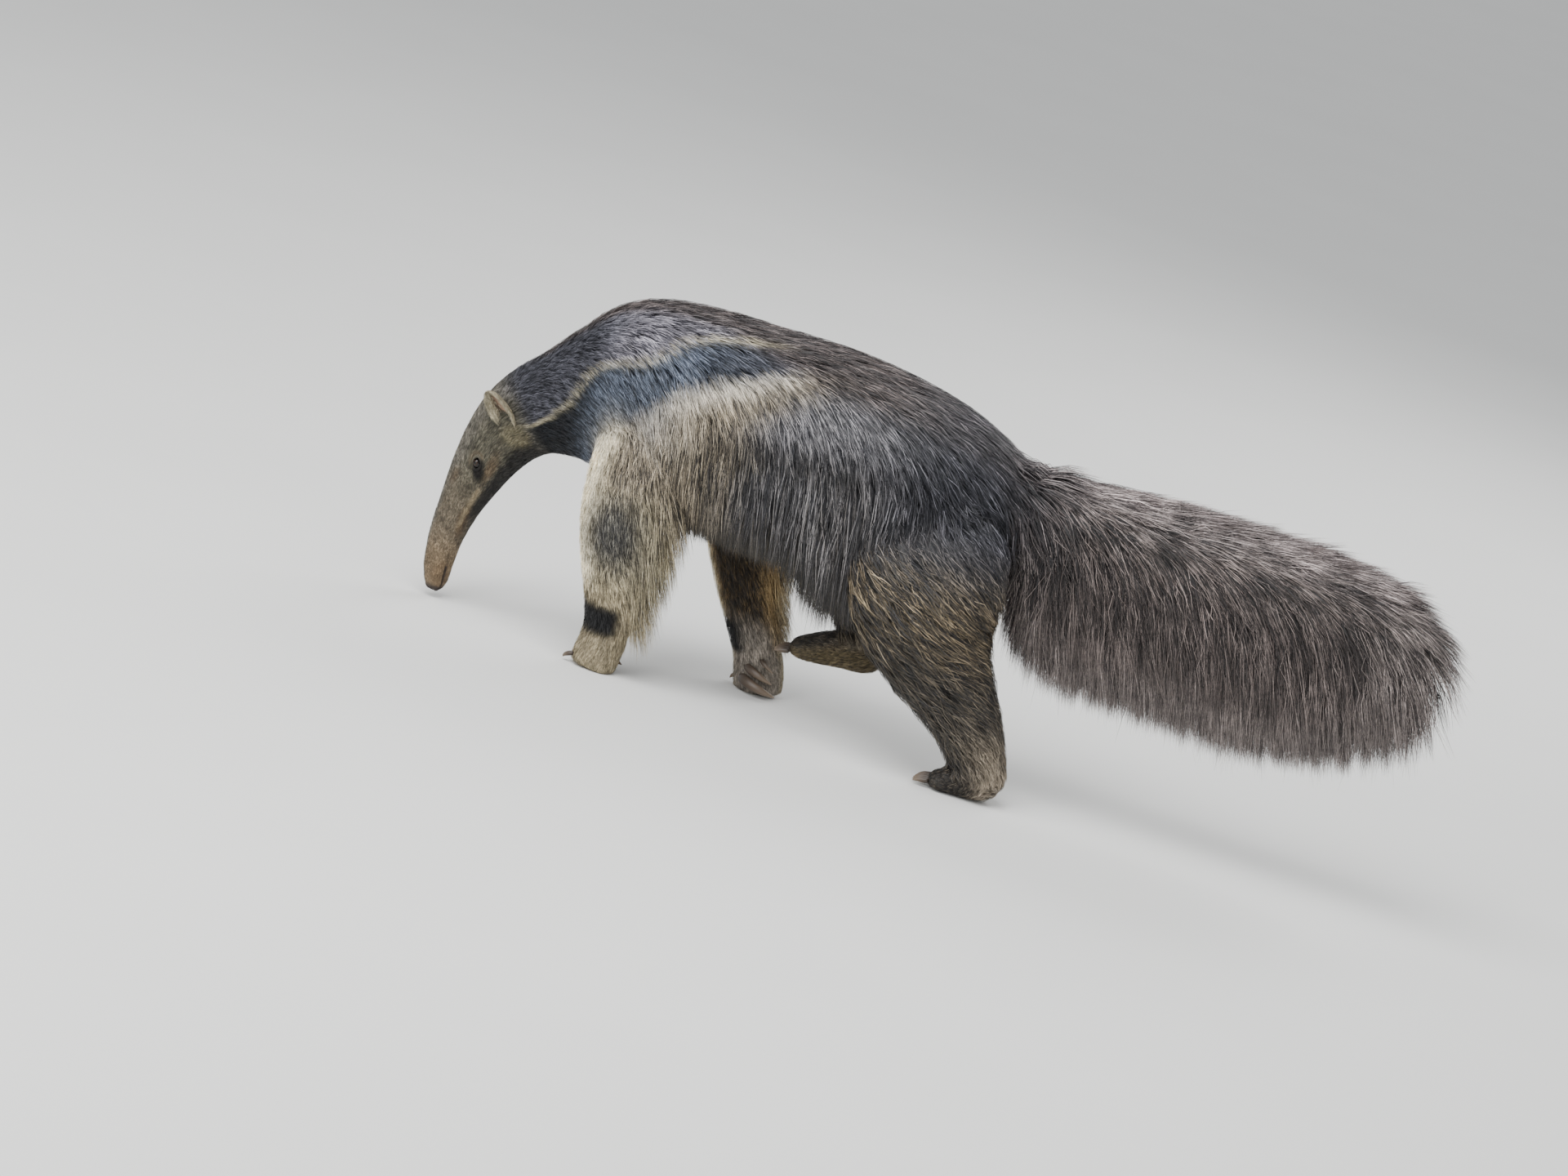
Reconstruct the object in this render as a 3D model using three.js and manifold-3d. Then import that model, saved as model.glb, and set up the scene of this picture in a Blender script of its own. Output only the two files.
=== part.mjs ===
// Giant anteater at life size, walking with its nose to the ground and its tail held out level.
// Millimetres, +Z up, -X towards the nose, -Y towards the animal's left side.
// Left fore, right fore and left hind foot stand flat at z = 0; the right hind foot is in the air.
import * as THREE from "three";
import { mergeVertices } from "three/addons/utils/BufferGeometryUtils.js";
import Module from "manifold-3d";

const wasm = await Module();
wasm.setup();

// Kept between two pieces that touch.
const GAP = 0.3;
// Detail smaller than this, left by cuts, is smoothed away.
const SMALLEST_EDGE = 0.06;
// The same among forms joined inside one node, and how much wider a lock is for what is cut by it.
const SMALLEST_JOINED_EDGE = 0.4;
const LOCK_CLEARANCE = 0.6;

// Stations of the trunk in the middle plane, from the nose to the root of the tail:
// [x, z, half depth in the plane of the bend, half width].
const HEAD = [
  [-544, 8, 14, 13], [-546, 29, 21, 17], [-550, 62, 26, 20], [-549, 110, 30, 24],
  [-542, 160, 36, 29], [-531, 210, 45, 36], [-516, 262, 55, 45], [-494, 310, 66, 52],
];
const NECK = [[-464, 346, 76, 57], [-425, 372, 90, 68]];
const TORSO = [
  [-378, 396, 118, 86], [-305, 424, 155, 112], [-210, 437, 160, 130], [-110, 451, 148, 140],
  [0, 458, 142, 146], [110, 458, 130, 142], [205, 454, 112, 124], [275, 452, 86, 94],
  [322, 455, 66, 70],
];
// The flesh and dense under-hair of the tail, down to half way to the tips of its plume.
const TAIL_CORE = [
  [322, 452, 68, 70], [352, 442, 78, 58], [400, 428, 84, 48], [500, 420, 88, 42], [650, 420, 92, 42],
  [800, 426, 84, 38], [900, 436, 64, 29], [960, 448, 36, 17], [985, 450, 14, 9],
];
// The outline that the tips of the plume reach.
const PLUME = [
  [322, 440, 100, 70], [350, 400, 140, 66], [390, 362, 166, 64], [470, 346, 178, 64], [600, 354, 186, 68],
  [760, 354, 190, 70], [900, 362, 172, 64], [1000, 366, 136, 54], [1068, 348, 88, 38], [1104, 322, 40, 20],
];
// The outline that the tips of the flank and belly hair reach.
const SKIRT = [
  [-250, 350, 60, 104], [-190, 330, 88, 120], [-90, 322, 90, 146], [20, 318, 92, 150], [100, 300, 106, 140],
  [190, 320, 120, 110], [260, 350, 120, 90],
];

// Stations of each leg, from inside the trunk to the ankle: [x, y, z, half depth, half width].
const LEGS = {
  foreleg_left: [
    [-255, -62, 400, 78, 40], [-266, -84, 318, 77, 46], [-264, -94, 240, 70, 44],
    [-253, -97, 170, 58, 38], [-243, -97, 112, 46, 33], [-238, -96, 64, 38, 31],
  ],
  foreleg_right: [
    [-150, 66, 400, 76, 40], [-118, 86, 310, 74, 45], [-98, 95, 240, 66, 43],
    [-72, 98, 170, 56, 38], [-46, 98, 112, 47, 34], [-26, 97, 66, 40, 32],
  ],
  hindleg_left: [
    [205, -70, 430, 118, 44], [215, -96, 345, 130, 56], [232, -106, 270, 118, 56],
    [268, -110, 205, 88, 50], [322, -109, 148, 62, 42], [360, -107, 103, 50, 36],
    [388, -105, 60, 42, 33],
  ],
  hindleg_right: [
    [190, 66, 430, 112, 42], [165, 88, 350, 114, 52], [134, 92, 286, 94, 48],
    [114, 84, 234, 62, 40], [116, 73, 192, 44, 32], [136, 63, 158, 33, 27],
  ],
};
// Stations of each foot. A standing foot runs past the floor and is cut flat there.
const FEET = {
  forefoot_left: [
    [-238, -96, 63.7, 38, 31], [-241, -96, 40, 39, 33], [-244, -97, 14, 39, 34], [-245, -97, -8, 36, 32],
  ],
  forefoot_right: [
    [-26, 97, 65.7, 40, 32], [-16, 97, 40, 42, 33], [-9, 97, 14, 42, 34], [-7, 97, -8, 38, 32],
  ],
  hindfoot_left: [
    [436, -104, 24, 17, 20], [418, -104, 30, 30, 30], [380, -105, 26, 30, 34],
    [346, -107, 15, 20, 37], [320, -108, 9, 12, 33],
  ],
  hindfoot_right: [
    [182, 58, 134, 22, 20], [154, 56, 130, 34, 28], [106, 54, 122, 31, 31],
    [58, 52, 108, 23, 33], [28, 51, 100, 14, 30],
  ],
};

// Locks of hair grow in tiers from a form's surface to the outline of their tips. start and end are
// shares of the form's line, root and tip are degrees round the section from the dorsal edge, sweep
// is how far the tips lie behind the roots, and bulge how far a lock stands out from its chord.
const TAIL_TIERS = [
  {
    count: 13, start: 0.09, end: 0.91, root: 152, tip: 173, face: 110,
    sweep: 52, width: 23, thick: 7, bulge: 2,
  },
  {
    count: 11, start: 0.07, end: 0.9, root: 116, tip: 150, face: 100,
    sweep: 58, width: 26, thick: 7, bulge: 12,
  },
  {
    count: 9, start: 0.05, end: 0.88, root: 72, tip: 116, face: 80,
    sweep: 66, width: 27, thick: 7, bulge: 18,
  },
  {
    count: 8, start: 0.02, end: 0.86, root: 16, tip: 14, face: 56,
    sweep: 118, width: 24, thick: 7, bulge: 9,
  },
];
const TAIL_TIP_LOCKS = { count: 6, from: 16, to: 160, width: 22, thick: 7 };
const FLANK_TIERS = [
  {
    count: 10, start: 0.53, end: 0.83, root: 120, tip: 166, face: 110,
    sweep: 16, width: 22, thick: 6, bulge: 6,
  },
  {
    count: 8, start: 0.53, end: 0.87, root: 92, tip: 136, face: 92,
    sweep: 24, width: 25, thick: 6, bulge: 12,
  },
];
// The crest along the spine, the hair of the upper flank and that of the rump lie back along the
// trunk: turn is degrees from its dorsal edge, fall how many more the tips lie down the side, step
// how far along its line, as a share, and lift how far the tips stand off it.
const LYING = [
  {
    count: 9, start: 0.53, end: 0.955, turn: 9, fall: 2,
    step: 0.065, lift: 5, width: 18, thick: 7, bulge: 9,
  },
  {
    count: 12, start: 0.55, end: 0.84, turn: 56, fall: 34,
    step: 0.06, lift: 7, width: 28, thick: 9, bulge: 30,
  },
  {
    count: 8, start: 0.89, end: 0.95, turn: 36, fall: 6,
    step: 0.07, lift: 9, width: 22, thick: 8, bulge: 14,
  },
];
// Fringes hang behind the forelegs, and thigh hair sweeps down and back: rows are degrees round the
// section from the rear edge, face the degrees that the flat of a lock faces, long its length, and
// out and drop the way to its tip.
const LEG_HAIR = {
  foreleg_left: {
    rows: [-24, 26], face: 84, count: 6, start: 0.16, end: 0.86,
    long: 112, out: 0.5, drop: 0.86, width: 16, thick: 5,
  },
  foreleg_right: {
    rows: [-24, 26], face: 84, count: 5, start: 0.26, end: 0.82,
    long: 84, out: 0.42, drop: 0.9, width: 15, thick: 5,
  },
  hindleg_left: {
    rows: [-22, -58, -96], face: 74, count: 3, start: 0.24, end: 0.62,
    long: 136, out: 0.34, drop: 0.84, width: 24, thick: 7,
  },
  hindleg_right: {
    rows: [24, 66], face: 60, count: 3, start: 0.26, end: 0.62,
    long: 112, out: 0.3, drop: 0.88, width: 20, thick: 6,
  },
};
const SEED = 7;

// Claws of a forefoot, folded back along its inner side: points [x, inwards, z] from the middle of
// the foot, and the half thickness at the root.
const FORE_CLAWS = [
  { path: [[-6, 22, 60], [4, 34, 57], [14, 38, 52], [24, 37, 46]], thick: 4 },
  { path: [[-26, 20, 42], [-12, 36, 40], [8, 43, 35], [28, 39, 28]], thick: 7 },
  { path: [[-28, 20, 22], [-14, 37, 20], [12, 45, 15], [38, 38, 9]], thick: 9 },
  { path: [[-32, -16, 16], [-40, -16, 13], [-46, -15, 9], [-49, -14, 4]], thick: 4 },
];
const HIND_CLAWS = [
  { long: 17, thick: 4.2, side: -24 }, { long: 19, thick: 4.6, side: -12.5 },
  { long: 20, thick: 4.8, side: 0 }, { long: 19, thick: 4.6, side: 12.5 },
  { long: 17, thick: 4.2, side: 24 },
];

// The eye and the ear on the left side; the right side mirrors them.
const EYE = { x: -527, y: -33, z: 240, radius: 8.5 };
const LID_RADIUS = 1.8;
const EAR_BASE = [-484, -42, 312];
const EAR_TIP = [-531, -68, 357];
const EAR_HALF_WIDTH = 19;
const EAR_HALF_THICK = 12;
const EAR_WALL = 4;

const ACROSS = new THREE.Vector3(0, 1, 0);

function solidOf(geometry) {
  geometry.deleteAttribute("normal");
  geometry.deleteAttribute("uv");
  const merged = mergeVertices(geometry, 1e-3);
  const mesh = new wasm.Mesh({
    numProp: 3,
    vertProperties: merged.attributes.position.array,
    triVerts: new Uint32Array(merged.index.array),
  });
  return new wasm.Manifold(mesh);
}

const joined = (solids) => wasm.Manifold.union(solids);

// The largest closed surface, which fills a sealed hollow and drops loose scraps.
function largest(solid) {
  return solid.decompose().reduce((a, b) => (b.volume() > a.volume() ? b : a));
}

// A form swept along a smooth line through stations [x, y, z, half depth, half width].
// keel narrows the dorsal edge of the section and hem the ventral edge, as shares of the width.
// roundStart and roundEnd are the lengths of the round ends, as shares of the first and last span.
// upright keeps every section square to the X axis, however the line runs.
class Sweep {
  constructor(stations, options = {}) {
    const { square = 2.2, keel = 0, hem = 0, upright = false } = options;
    const { roundStart = 0, roundEnd = 0, roundSteps = 3 } = options;
    const curve = (points) => new THREE.CatmullRomCurve3(points, false, "catmullrom", 0.5);
    this.line = curve(stations.map(([x, y, z]) => new THREE.Vector3(x, y, z)));
    this.sizes = curve(stations.map(([, , , deep, wide]) => new THREE.Vector3(deep, wide, 0)));
    this.spans = stations.length - 1;
    Object.assign(this, { square, keel, hem, roundStart, roundEnd, roundSteps, upright });
  }

  along(t) {
    return this.upright ? new THREE.Vector3(1, 0, 0) : this.line.getTangent(t);
  }

  // A point of the section at t: angle 0 is the dorsal edge, a quarter turn the +Y side.
  point(t, angle, reach = 1, grow = 0) {
    const along = this.along(t);
    const wideWay = ACROSS.clone().addScaledVector(along, -along.y).normalize();
    const deepWay = along.clone().cross(wideWay);
    const size = this.sizes.getPoint(t);
    const bend = (v) => Math.sign(v) * Math.abs(v) ** (2 / this.square);
    const c = bend(Math.cos(angle));
    const narrowing = c > 0 ? this.keel * c * c : this.hem * c * c;
    return this.line.getPoint(t)
      .addScaledVector(deepWay, reach * c * (size.x + grow))
      .addScaledVector(wideWay, reach * bend(Math.sin(angle)) * (size.y * (1 - narrowing) + grow));
  }

  // The way out of the section at an angle.
  outward(t, angle) {
    const along = this.along(t);
    const wideWay = ACROSS.clone().addScaledVector(along, -along.y).normalize();
    const size = this.sizes.getPoint(t);
    return along.clone().cross(wideWay).multiplyScalar(Math.cos(angle) / size.x)
      .addScaledVector(wideWay, Math.sin(angle) / size.y)
      .normalize();
  }

  // The rows of one end, from its middle out to the full section: [t, reach, shift along the line].
  endRows(t, round, inward, grow) {
    const steps = round > 0 ? this.roundSteps : 1;
    return Array.from({ length: steps + 1 }, (_, i) => {
      const turn = (Math.PI / 2) * (i / steps);
      const back = round > 0 ? Math.cos(turn) : 1;
      return [t + (inward * round * (1 - back)) / this.spans, Math.sin(turn), -inward * grow * back];
    });
  }

  solid({ from = 0, to = 1, sides = 18, rings = 20, grow = 0 } = {}) {
    const start = this.endRows(from, from > 0 ? 0 : this.roundStart, 1, grow);
    const end = this.endRows(to, to < 1 ? 0 : this.roundEnd, -1, grow).reverse();
    const first = start.at(-1)[0];
    const run = end[0][0] - first;
    const middle = Array.from({ length: rings - 1 }, (_, i) => [first + (run * (i + 1)) / rings, 1, 0]);
    const rows = [...start, ...middle, ...end];
    const geometry = new THREE.SphereGeometry(1, sides, rows.length - 1);
    const place = geometry.attributes.position;
    for (let i = 0; i < place.count; i++) {
      const polar = Math.acos(THREE.MathUtils.clamp(place.getY(i), -1, 1));
      const [t, reach, shift] = rows[Math.round((polar / Math.PI) * (rows.length - 1))];
      const angle = Math.atan2(-place.getZ(i), place.getX(i));
      const p = this.point(t, angle, reach, grow).addScaledVector(this.along(t), shift);
      place.setXYZ(i, p.x, p.y, p.z);
    }
    return solidOf(geometry);
  }
}

// Seeded draw from -1 to 1.
let drawn = SEED;
function vary() {
  drawn = (drawn * 1664525 + 1013904223) % 4294967296;
  return (drawn / 4294967296) * 2 - 1;
}

// Rows of a lock from its sunk root to its point: [share of its line, share of its width].
const LOCK_ROWS = [[0, 0], [0.02, 0.8], [0.34, 1], [0.72, 0.7], [1, 0]];
const LOCK_SINK = 9;

// A flat, tapered, bent lock of hair with a ridge along its outer face. out is the way out of the
// skin at its root, and face the way that its flat faces.
function lockSolid({ root, out, face, tip, width, thick, bulge }, grow = 0) {
  const start = root.clone().addScaledVector(out, -LOCK_SINK);
  const middle = start.clone().lerp(tip, 0.5).addScaledVector(out, bulge + LOCK_SINK);
  const line = new THREE.QuadraticBezierCurve3(start, middle, tip);
  const geometry = new THREE.SphereGeometry(1, 3, LOCK_ROWS.length - 1);
  const place = geometry.attributes.position;
  for (let i = 0; i < place.count; i++) {
    const polar = Math.acos(THREE.MathUtils.clamp(place.getY(i), -1, 1));
    const [t, share] = LOCK_ROWS[Math.round((polar / Math.PI) * (LOCK_ROWS.length - 1))];
    const along = line.getTangent(t);
    const across = along.clone().cross(face).normalize();
    const through = across.clone().cross(along);
    const round = share > 0 ? 1 / Math.sin(polar) : 0;
    const onward = share > 0 ? 0 : Math.sign(t - 0.5) * 3 * grow;
    const p = line.getPoint(t)
      .addScaledVector(along, onward)
      .addScaledVector(across, -place.getZ(i) * round * (width * share + 3 * grow))
      .addScaledVector(through, -place.getX(i) * round * (thick * share + 2 * grow));
    place.setXYZ(i, p.x, p.y, p.z);
  }
  return solidOf(geometry);
}

const locksSolid = (locks, grow = 0) => joined(locks.map((lock) => lockSolid(lock, grow)));
const withLocks = (core, locks) => largest(joined([core, locksSolid(locks)]).simplify(SMALLEST_JOINED_EDGE));

const radians = THREE.MathUtils.degToRad;

// The point of an upright outline at the given X, a little off at random.
function tipOn(outline, x, turn) {
  let low = 0;
  let high = 1;
  for (let i = 0; i < 18; i++) {
    const t = (low + high) / 2;
    if (outline.line.getPoint(t).x < x) low = t;
    else high = t;
  }
  return outline.point(low, turn, 0.985 + 0.025 * vary());
}

// One tier of locks down both sides of a form, from its surface to the outline of their tips.
function tierLocks(form, outline, tier) {
  return Array.from({ length: 2 * tier.count }, (_, i) => {
    const side = i % 2 ? 1 : -1;
    const share = (i / 2 + 0.25 + 0.1 * vary()) / tier.count;
    const t = THREE.MathUtils.lerp(tier.start, tier.end, share);
    const turn = side * radians(tier.root + 4 * vary());
    const root = form.point(t, turn);
    const x = root.x + tier.sweep * (1 + 0.18 * vary());
    const tip = tipOn(outline, x, side * radians(tier.tip + 3 * vary()));
    const size = 1 + 0.14 * vary();
    return {
      root, out: form.outward(t, turn), face: form.outward(t, side * radians(tier.face)), tip,
      width: tier.width * size, thick: tier.thick * size, bulge: tier.bulge * (1 + 0.3 * vary()),
    };
  });
}

// Locks that lie back along the trunk, by turns on its right and left side.
function lyingLocks({ count, start, end, turn: spread, fall, step, lift, width, thick, bulge }) {
  return Array.from({ length: count }, (_, i) => {
    const t = THREE.MathUtils.lerp(start, end, i / (count - 1));
    const side = i % 2 ? 1 : -1;
    const turn = side * radians(spread * (1 + 0.2 * vary()));
    const reach = step * (1 + 0.15 * vary());
    const root = trunk.point(t, turn);
    const out = trunk.outward(t, turn);
    const spill = Math.max(0, t + reach - 0.985) * trunk.line.getLength();
    const onward = Math.min(0.985, t + reach);
    const tip = trunk.point(onward, turn + side * radians(fall))
      .addScaledVector(trunk.along(onward), spill)
      .addScaledVector(trunk.outward(onward, turn), lift * (1 + 0.2 * vary()));
    return { root, out, face: out, tip, width, thick, bulge };
  });
}

// Hair of a leg, in rows down it.
function legHair(form, { rows, face, count, start, end, long, out: stand, drop, width, thick }) {
  return rows.flatMap((row) => Array.from({ length: count }, (_, i) => {
    const t = THREE.MathUtils.lerp(start, end, (i + 0.5 + 0.2 * vary()) / count);
    const turn = radians(row + 6 * vary());
    const root = form.point(t, turn);
    const out = form.outward(t, turn);
    const reach = long * (1 + 0.12 * vary()) * (1.15 - 0.5 * t);
    const back = new THREE.Vector3(stand, 0, -drop);
    const tip = root.clone().addScaledVector(back, reach).addScaledVector(out, reach * 0.1);
    const flat = form.outward(t, Math.sign(row) * radians(face));
    return { root, out, face: flat, tip, width, thick, bulge: reach * 0.08 };
  }));
}

// A round bar of even thickness through the given points, with round ends.
const bar = (points, radius) =>
  new Sweep(
    points.map(([x, y, z]) => [x, y, z, radius, radius]),
    { square: 2, roundStart: 0.5, roundEnd: 0.5, roundSteps: 1 },
  ).solid({ sides: 4, rings: 6 });

// A ball or ellipsoid with the given half sizes.
function ball(centre, halves, { turn = [0, 0, 0], sides = 14 } = {}) {
  const geometry = new THREE.SphereGeometry(1, sides, sides / 2 + 3);
  geometry.scale(...halves);
  geometry.rotateX(turn[0]);
  geometry.rotateY(turn[1]);
  geometry.rotateZ(turn[2]);
  geometry.translate(...centre);
  return solidOf(geometry);
}

const trunk = new Sweep(
  [...HEAD, ...NECK, ...TORSO].map(([x, z, deep, wide]) => [x, 0, z, deep, wide]),
  { keel: 0.18, roundStart: 0.5 },
);
const HEAD_END = HEAD.length / trunk.spans;
const NECK_END = (HEAD.length + NECK.length) / trunk.spans;
// Half the gap at a border, as a share of the trunk's line.
const SHORT_STEP = 1e-3;
const gapAt = (t) =>
  (GAP * SHORT_STEP) / trunk.line.getPoint(t - SHORT_STEP).distanceTo(trunk.line.getPoint(t + SHORT_STEP));

// Both halves of a piece: left as given, right mirrored.
const mirrored = (solid) => solid.mirror([0, 1, 0]);

function eye(grow = 0) {
  const r = EYE.radius + grow;
  return ball([EYE.x, EYE.y, EYE.z], [r, r, r], { sides: 10 });
}

// The edge of the upper and lower lid: an almond ring round the eye.
function lids() {
  const ring = new THREE.TorusGeometry(6.4, LID_RADIUS, 5, 14);
  ring.scale(0.85, 1.25, 1);
  ring.rotateX(Math.PI / 2);
  ring.rotateZ(0.12);
  ring.translate(EYE.x, EYE.y - 6.2, EYE.z);
  return solidOf(ring);
}

// The mouth: a narrow slit across the tip of the muzzle, and the lips that edge it.
const MOUTH_ANGLE = 2.35;
const LIP_APART = 0.22;
const MOUTH_BACK = 1.9 / 18;
function mouthLine(angle) {
  const stops = [MOUTH_BACK, MOUTH_BACK * 0.55, MOUTH_BACK * 0.14];
  const left = stops.map((t) => trunk.point(t, -angle, 0.97).toArray());
  const right = stops.map((t) => trunk.point(t, angle, 0.97).toArray()).reverse();
  return [...left, [(left.at(-1)[0] + right[0][0]) / 2, 0, HEAD[0][1] + 1], ...right];
}

const headCore = (grow = 0) =>
  trunk.solid({ to: HEAD_END - gapAt(HEAD_END), sides: 18, rings: 21, grow });
const neckCore = (grow = 0) => {
  const ends = { from: HEAD_END + gapAt(HEAD_END), to: NECK_END - gapAt(NECK_END) };
  return trunk.solid({ ...ends, sides: 18, rings: 4, grow });
};
const torsoCore = (grow = 0) =>
  trunk.solid({ from: NECK_END + gapAt(NECK_END), sides: 18, rings: 17, grow });

function headSolid() {
  const core = headCore();
  const lips = [-LIP_APART, LIP_APART].map((apart) => bar(mouthLine(MOUTH_ANGLE + apart), 1.8));
  const slit = bar(mouthLine(MOUTH_ANGLE), 1.2);
  const nostril = ball([-555, -5, 12], [2.2, 1.6, 4], { turn: [0.35, 0.5, 0], sides: 8 });
  const solid = joined([core, lids(), mirrored(lids()), ...lips]).simplify(SMALLEST_JOINED_EDGE);
  const cuts = [eye(GAP), mirrored(eye(GAP)), slit, nostril, mirrored(nostril)];
  return solid.subtract(joined(cuts));
}

// The ear: an upright shell, hollowed from its outer and front side.
function ear() {
  const base = new THREE.Vector3(...EAR_BASE);
  const tip = new THREE.Vector3(...EAR_TIP);
  const at = (share, deep, wide) => [...base.clone().lerp(tip, share).toArray(), deep, wide];
  const outer = new Sweep([
    at(0, 13, 11), at(0.3, 17, EAR_HALF_THICK), at(0.65, EAR_HALF_WIDTH, EAR_HALF_THICK - 1), at(1, 12, 6),
  ], { roundEnd: 0.5 });
  const inner = new Sweep([
    at(0.34, 9, 6), at(0.5, 17 - EAR_WALL, 9), at(0.75, EAR_HALF_WIDTH - EAR_WALL, 9), at(1.12, 12, 6),
  ], { roundStart: 0.5 });
  const hollow = inner.solid({ sides: 10, rings: 4 }).translate([-3, -6, 0]);
  return outer.solid({ sides: 11, rings: 5 }).subtract(hollow);
}

const grownTrunk = joined([headCore(GAP), neckCore(GAP), torsoCore(GAP)]);

const nodes = {};
nodes.head = headSolid();
nodes.neck = neckCore();
nodes.torso = torsoCore();
nodes.eye_left = eye();
nodes.eye_right = mirrored(eye());
nodes.ear_left = ear().subtract(grownTrunk);
nodes.ear_right = mirrored(nodes.ear_left);

const legSweeps = {};
for (const [name, stations] of Object.entries(LEGS)) legSweeps[name] = new Sweep(stations);
const legSolid = (name, grow = 0) => legSweeps[name].solid({ sides: 12, rings: 11, grow });
const grownLegs = joined(Object.keys(LEGS).map((name) => legSolid(name, GAP)));

const legLocks = {};
for (const [name, hair] of Object.entries(LEG_HAIR)) legLocks[name] = legHair(legSweeps[name], hair);
const grownLegLocks = joined(Object.values(legLocks).map((locks) => locksSolid(locks, LOCK_CLEARANCE)));

const upright = (stations, options) =>
  new Sweep(stations.map(([x, z, deep, wide]) => [x, 0, z, deep, wide]), { upright: true, ...options });

const skirt = upright(SKIRT);
const torsoLocks = [
  ...FLANK_TIERS.flatMap((tier) => tierLocks(trunk, skirt, tier)), ...LYING.flatMap(lyingLocks),
];
const fromLegs = joined([grownLegs, grownLegLocks, neckCore(GAP)]);
nodes.torso = withLocks(torsoCore(), torsoLocks).subtract(fromLegs);
const grownTorsoLocks = locksSolid(torsoLocks, LOCK_CLEARANCE);
for (const name of Object.keys(LEGS)) {
  nodes[name] = withLocks(legSolid(name), legLocks[name]).subtract(grownTrunk);
}

const footSweeps = {};
for (const [name, stations] of Object.entries(FEET)) {
  const ends = name.startsWith("hind") ? { roundStart: 0.5, roundEnd: 0.5 } : {};
  footSweeps[name] = new Sweep(stations, ends);
}
const footSolid = (name, grow = 0) => footSweeps[name].solid({ sides: 12, rings: 6, grow });
for (const name of Object.keys(FEET)) {
  const leg = name.replace("foot", "leg");
  nodes[name] = footSolid(name).subtract(legSolid(leg, GAP)).trimByPlane([0, 0, 1], 0);
}

// A claw as a horn that narrows along its path, cut clear of the foot that it grows from.
function claw(path, thick, foot) {
  const shares = [1, 1, 0.75, 0.22];
  const stations = path.map((p, i) => [...p, thick * shares[i], thick * shares[i] * 0.8]);
  return new Sweep(stations, { square: 2, roundEnd: 0.6, roundSteps: 1 })
    .solid({ sides: 5, rings: 3 })
    .subtract(footSolid(foot, GAP));
}
const FORE_CENTRES = { forefoot_left: [-243, -96, 1], forefoot_right: [-9, 97, -1] };
for (const [foot, [x, y, inwards]] of Object.entries(FORE_CENTRES)) {
  FORE_CLAWS.forEach(({ path, thick }, i) => {
    const placed = path.map(([dx, dy, z]) => [x + dx, y + inwards * dy, z]);
    nodes[`claw_${foot}_${i + 1}`] = claw(placed, thick, foot);
  });
}
// A hind claw points forward and down out of its toe: shares of its length.
const HIND_CURL = [[0.5, 0.1], [0, 0], [-0.5, -0.08], [-1, -0.3]];
const HIND_ROOTS = { hindfoot_left: [318, -108, 10], hindfoot_right: [26, 51, 97] };
for (const [foot, [x, y, z]] of Object.entries(HIND_ROOTS)) {
  HIND_CLAWS.forEach(({ long, thick, side }, i) => {
    const placed = HIND_CURL.map(([forward, rise]) => [x + forward * long, y + side, z + rise * long]);
    nodes[`claw_${foot}_${i + 1}`] = claw(placed, thick, foot);
  });
}

const tailCore = upright(TAIL_CORE, { hem: 0.45, roundEnd: 0.5 });
const plume = upright(PLUME, { hem: 0.35, keel: 0.3 });

// The last hair of the tail, fanned back past the end of its flesh.
function tailTipLocks() {
  const { count, from, to, width, thick } = TAIL_TIP_LOCKS;
  return Array.from({ length: 2 * count }, (_, i) => {
    const share = (Math.floor(i / 2) + 0.5 + 0.2 * vary()) / count;
    const turn = (i % 2 ? 1 : -1) * radians(THREE.MathUtils.lerp(from, to, share));
    const t = THREE.MathUtils.lerp(0.93, 0.8, share);
    const root = tailCore.point(t, turn);
    const tip = tipOn(plume, THREE.MathUtils.lerp(1090, 1010, share * share) + 10 * vary(), turn);
    const out = tailCore.outward(t, turn);
    return { root, out, face: ACROSS.clone().multiplyScalar(Math.sign(turn)), tip, width, thick, bulge: 8 };
  });
}

const tailLocks = [...TAIL_TIERS.flatMap((tier) => tierLocks(tailCore, plume, tier)), ...tailTipLocks()];
const fromBody = joined([grownTrunk, grownLegs, grownLegLocks, grownTorsoLocks]);
nodes.tail = withLocks(tailCore.solid({ sides: 16, rings: 14 }), tailLocks).subtract(fromBody);

// Colour, roughness by the start of a node's name.
const FINISHES = {
  head: [0x8a8175, 0.8], neck: [0x4a443e, 0.9], torso: [0x5c554d, 0.9], tail: [0x4d463f, 0.95],
  ear: [0x9a8c78, 0.85], eye: [0x120d0a, 0.15], foreleg: [0xb0a184, 0.9], forefoot: [0x9b8a6c, 0.9],
  hindleg: [0x4a4238, 0.9], hindfoot: [0x4c4034, 0.9], claw: [0x5b5145, 0.5],
};

const animal = new THREE.Group();
for (const [name, solid] of Object.entries(nodes)) {
  const mesh = largest(solid.simplify(SMALLEST_EDGE)).getMesh();
  const geometry = new THREE.BufferGeometry();
  geometry.setAttribute("position", new THREE.BufferAttribute(mesh.vertProperties, 3));
  geometry.setIndex(new THREE.BufferAttribute(mesh.triVerts, 1));
  geometry.computeVertexNormals();
  const [color, roughness] = FINISHES[name.split("_")[0]];
  const part = new THREE.Mesh(geometry, new THREE.MeshStandardMaterial({ color, roughness, metalness: 0 }));
  part.name = name;
  animal.add(part);
}
// The origin is under the middle of the whole animal's box.
const box = new THREE.Box3().setFromObject(animal);
animal.position.set(-(box.min.x + box.max.x) / 2, -(box.min.y + box.max.y) / 2, -box.min.z);

export default animal;
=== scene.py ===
"""Giant anteater at life size, walking with its nose to the ground: skin, coat, eyes, ears and claws."""

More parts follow.
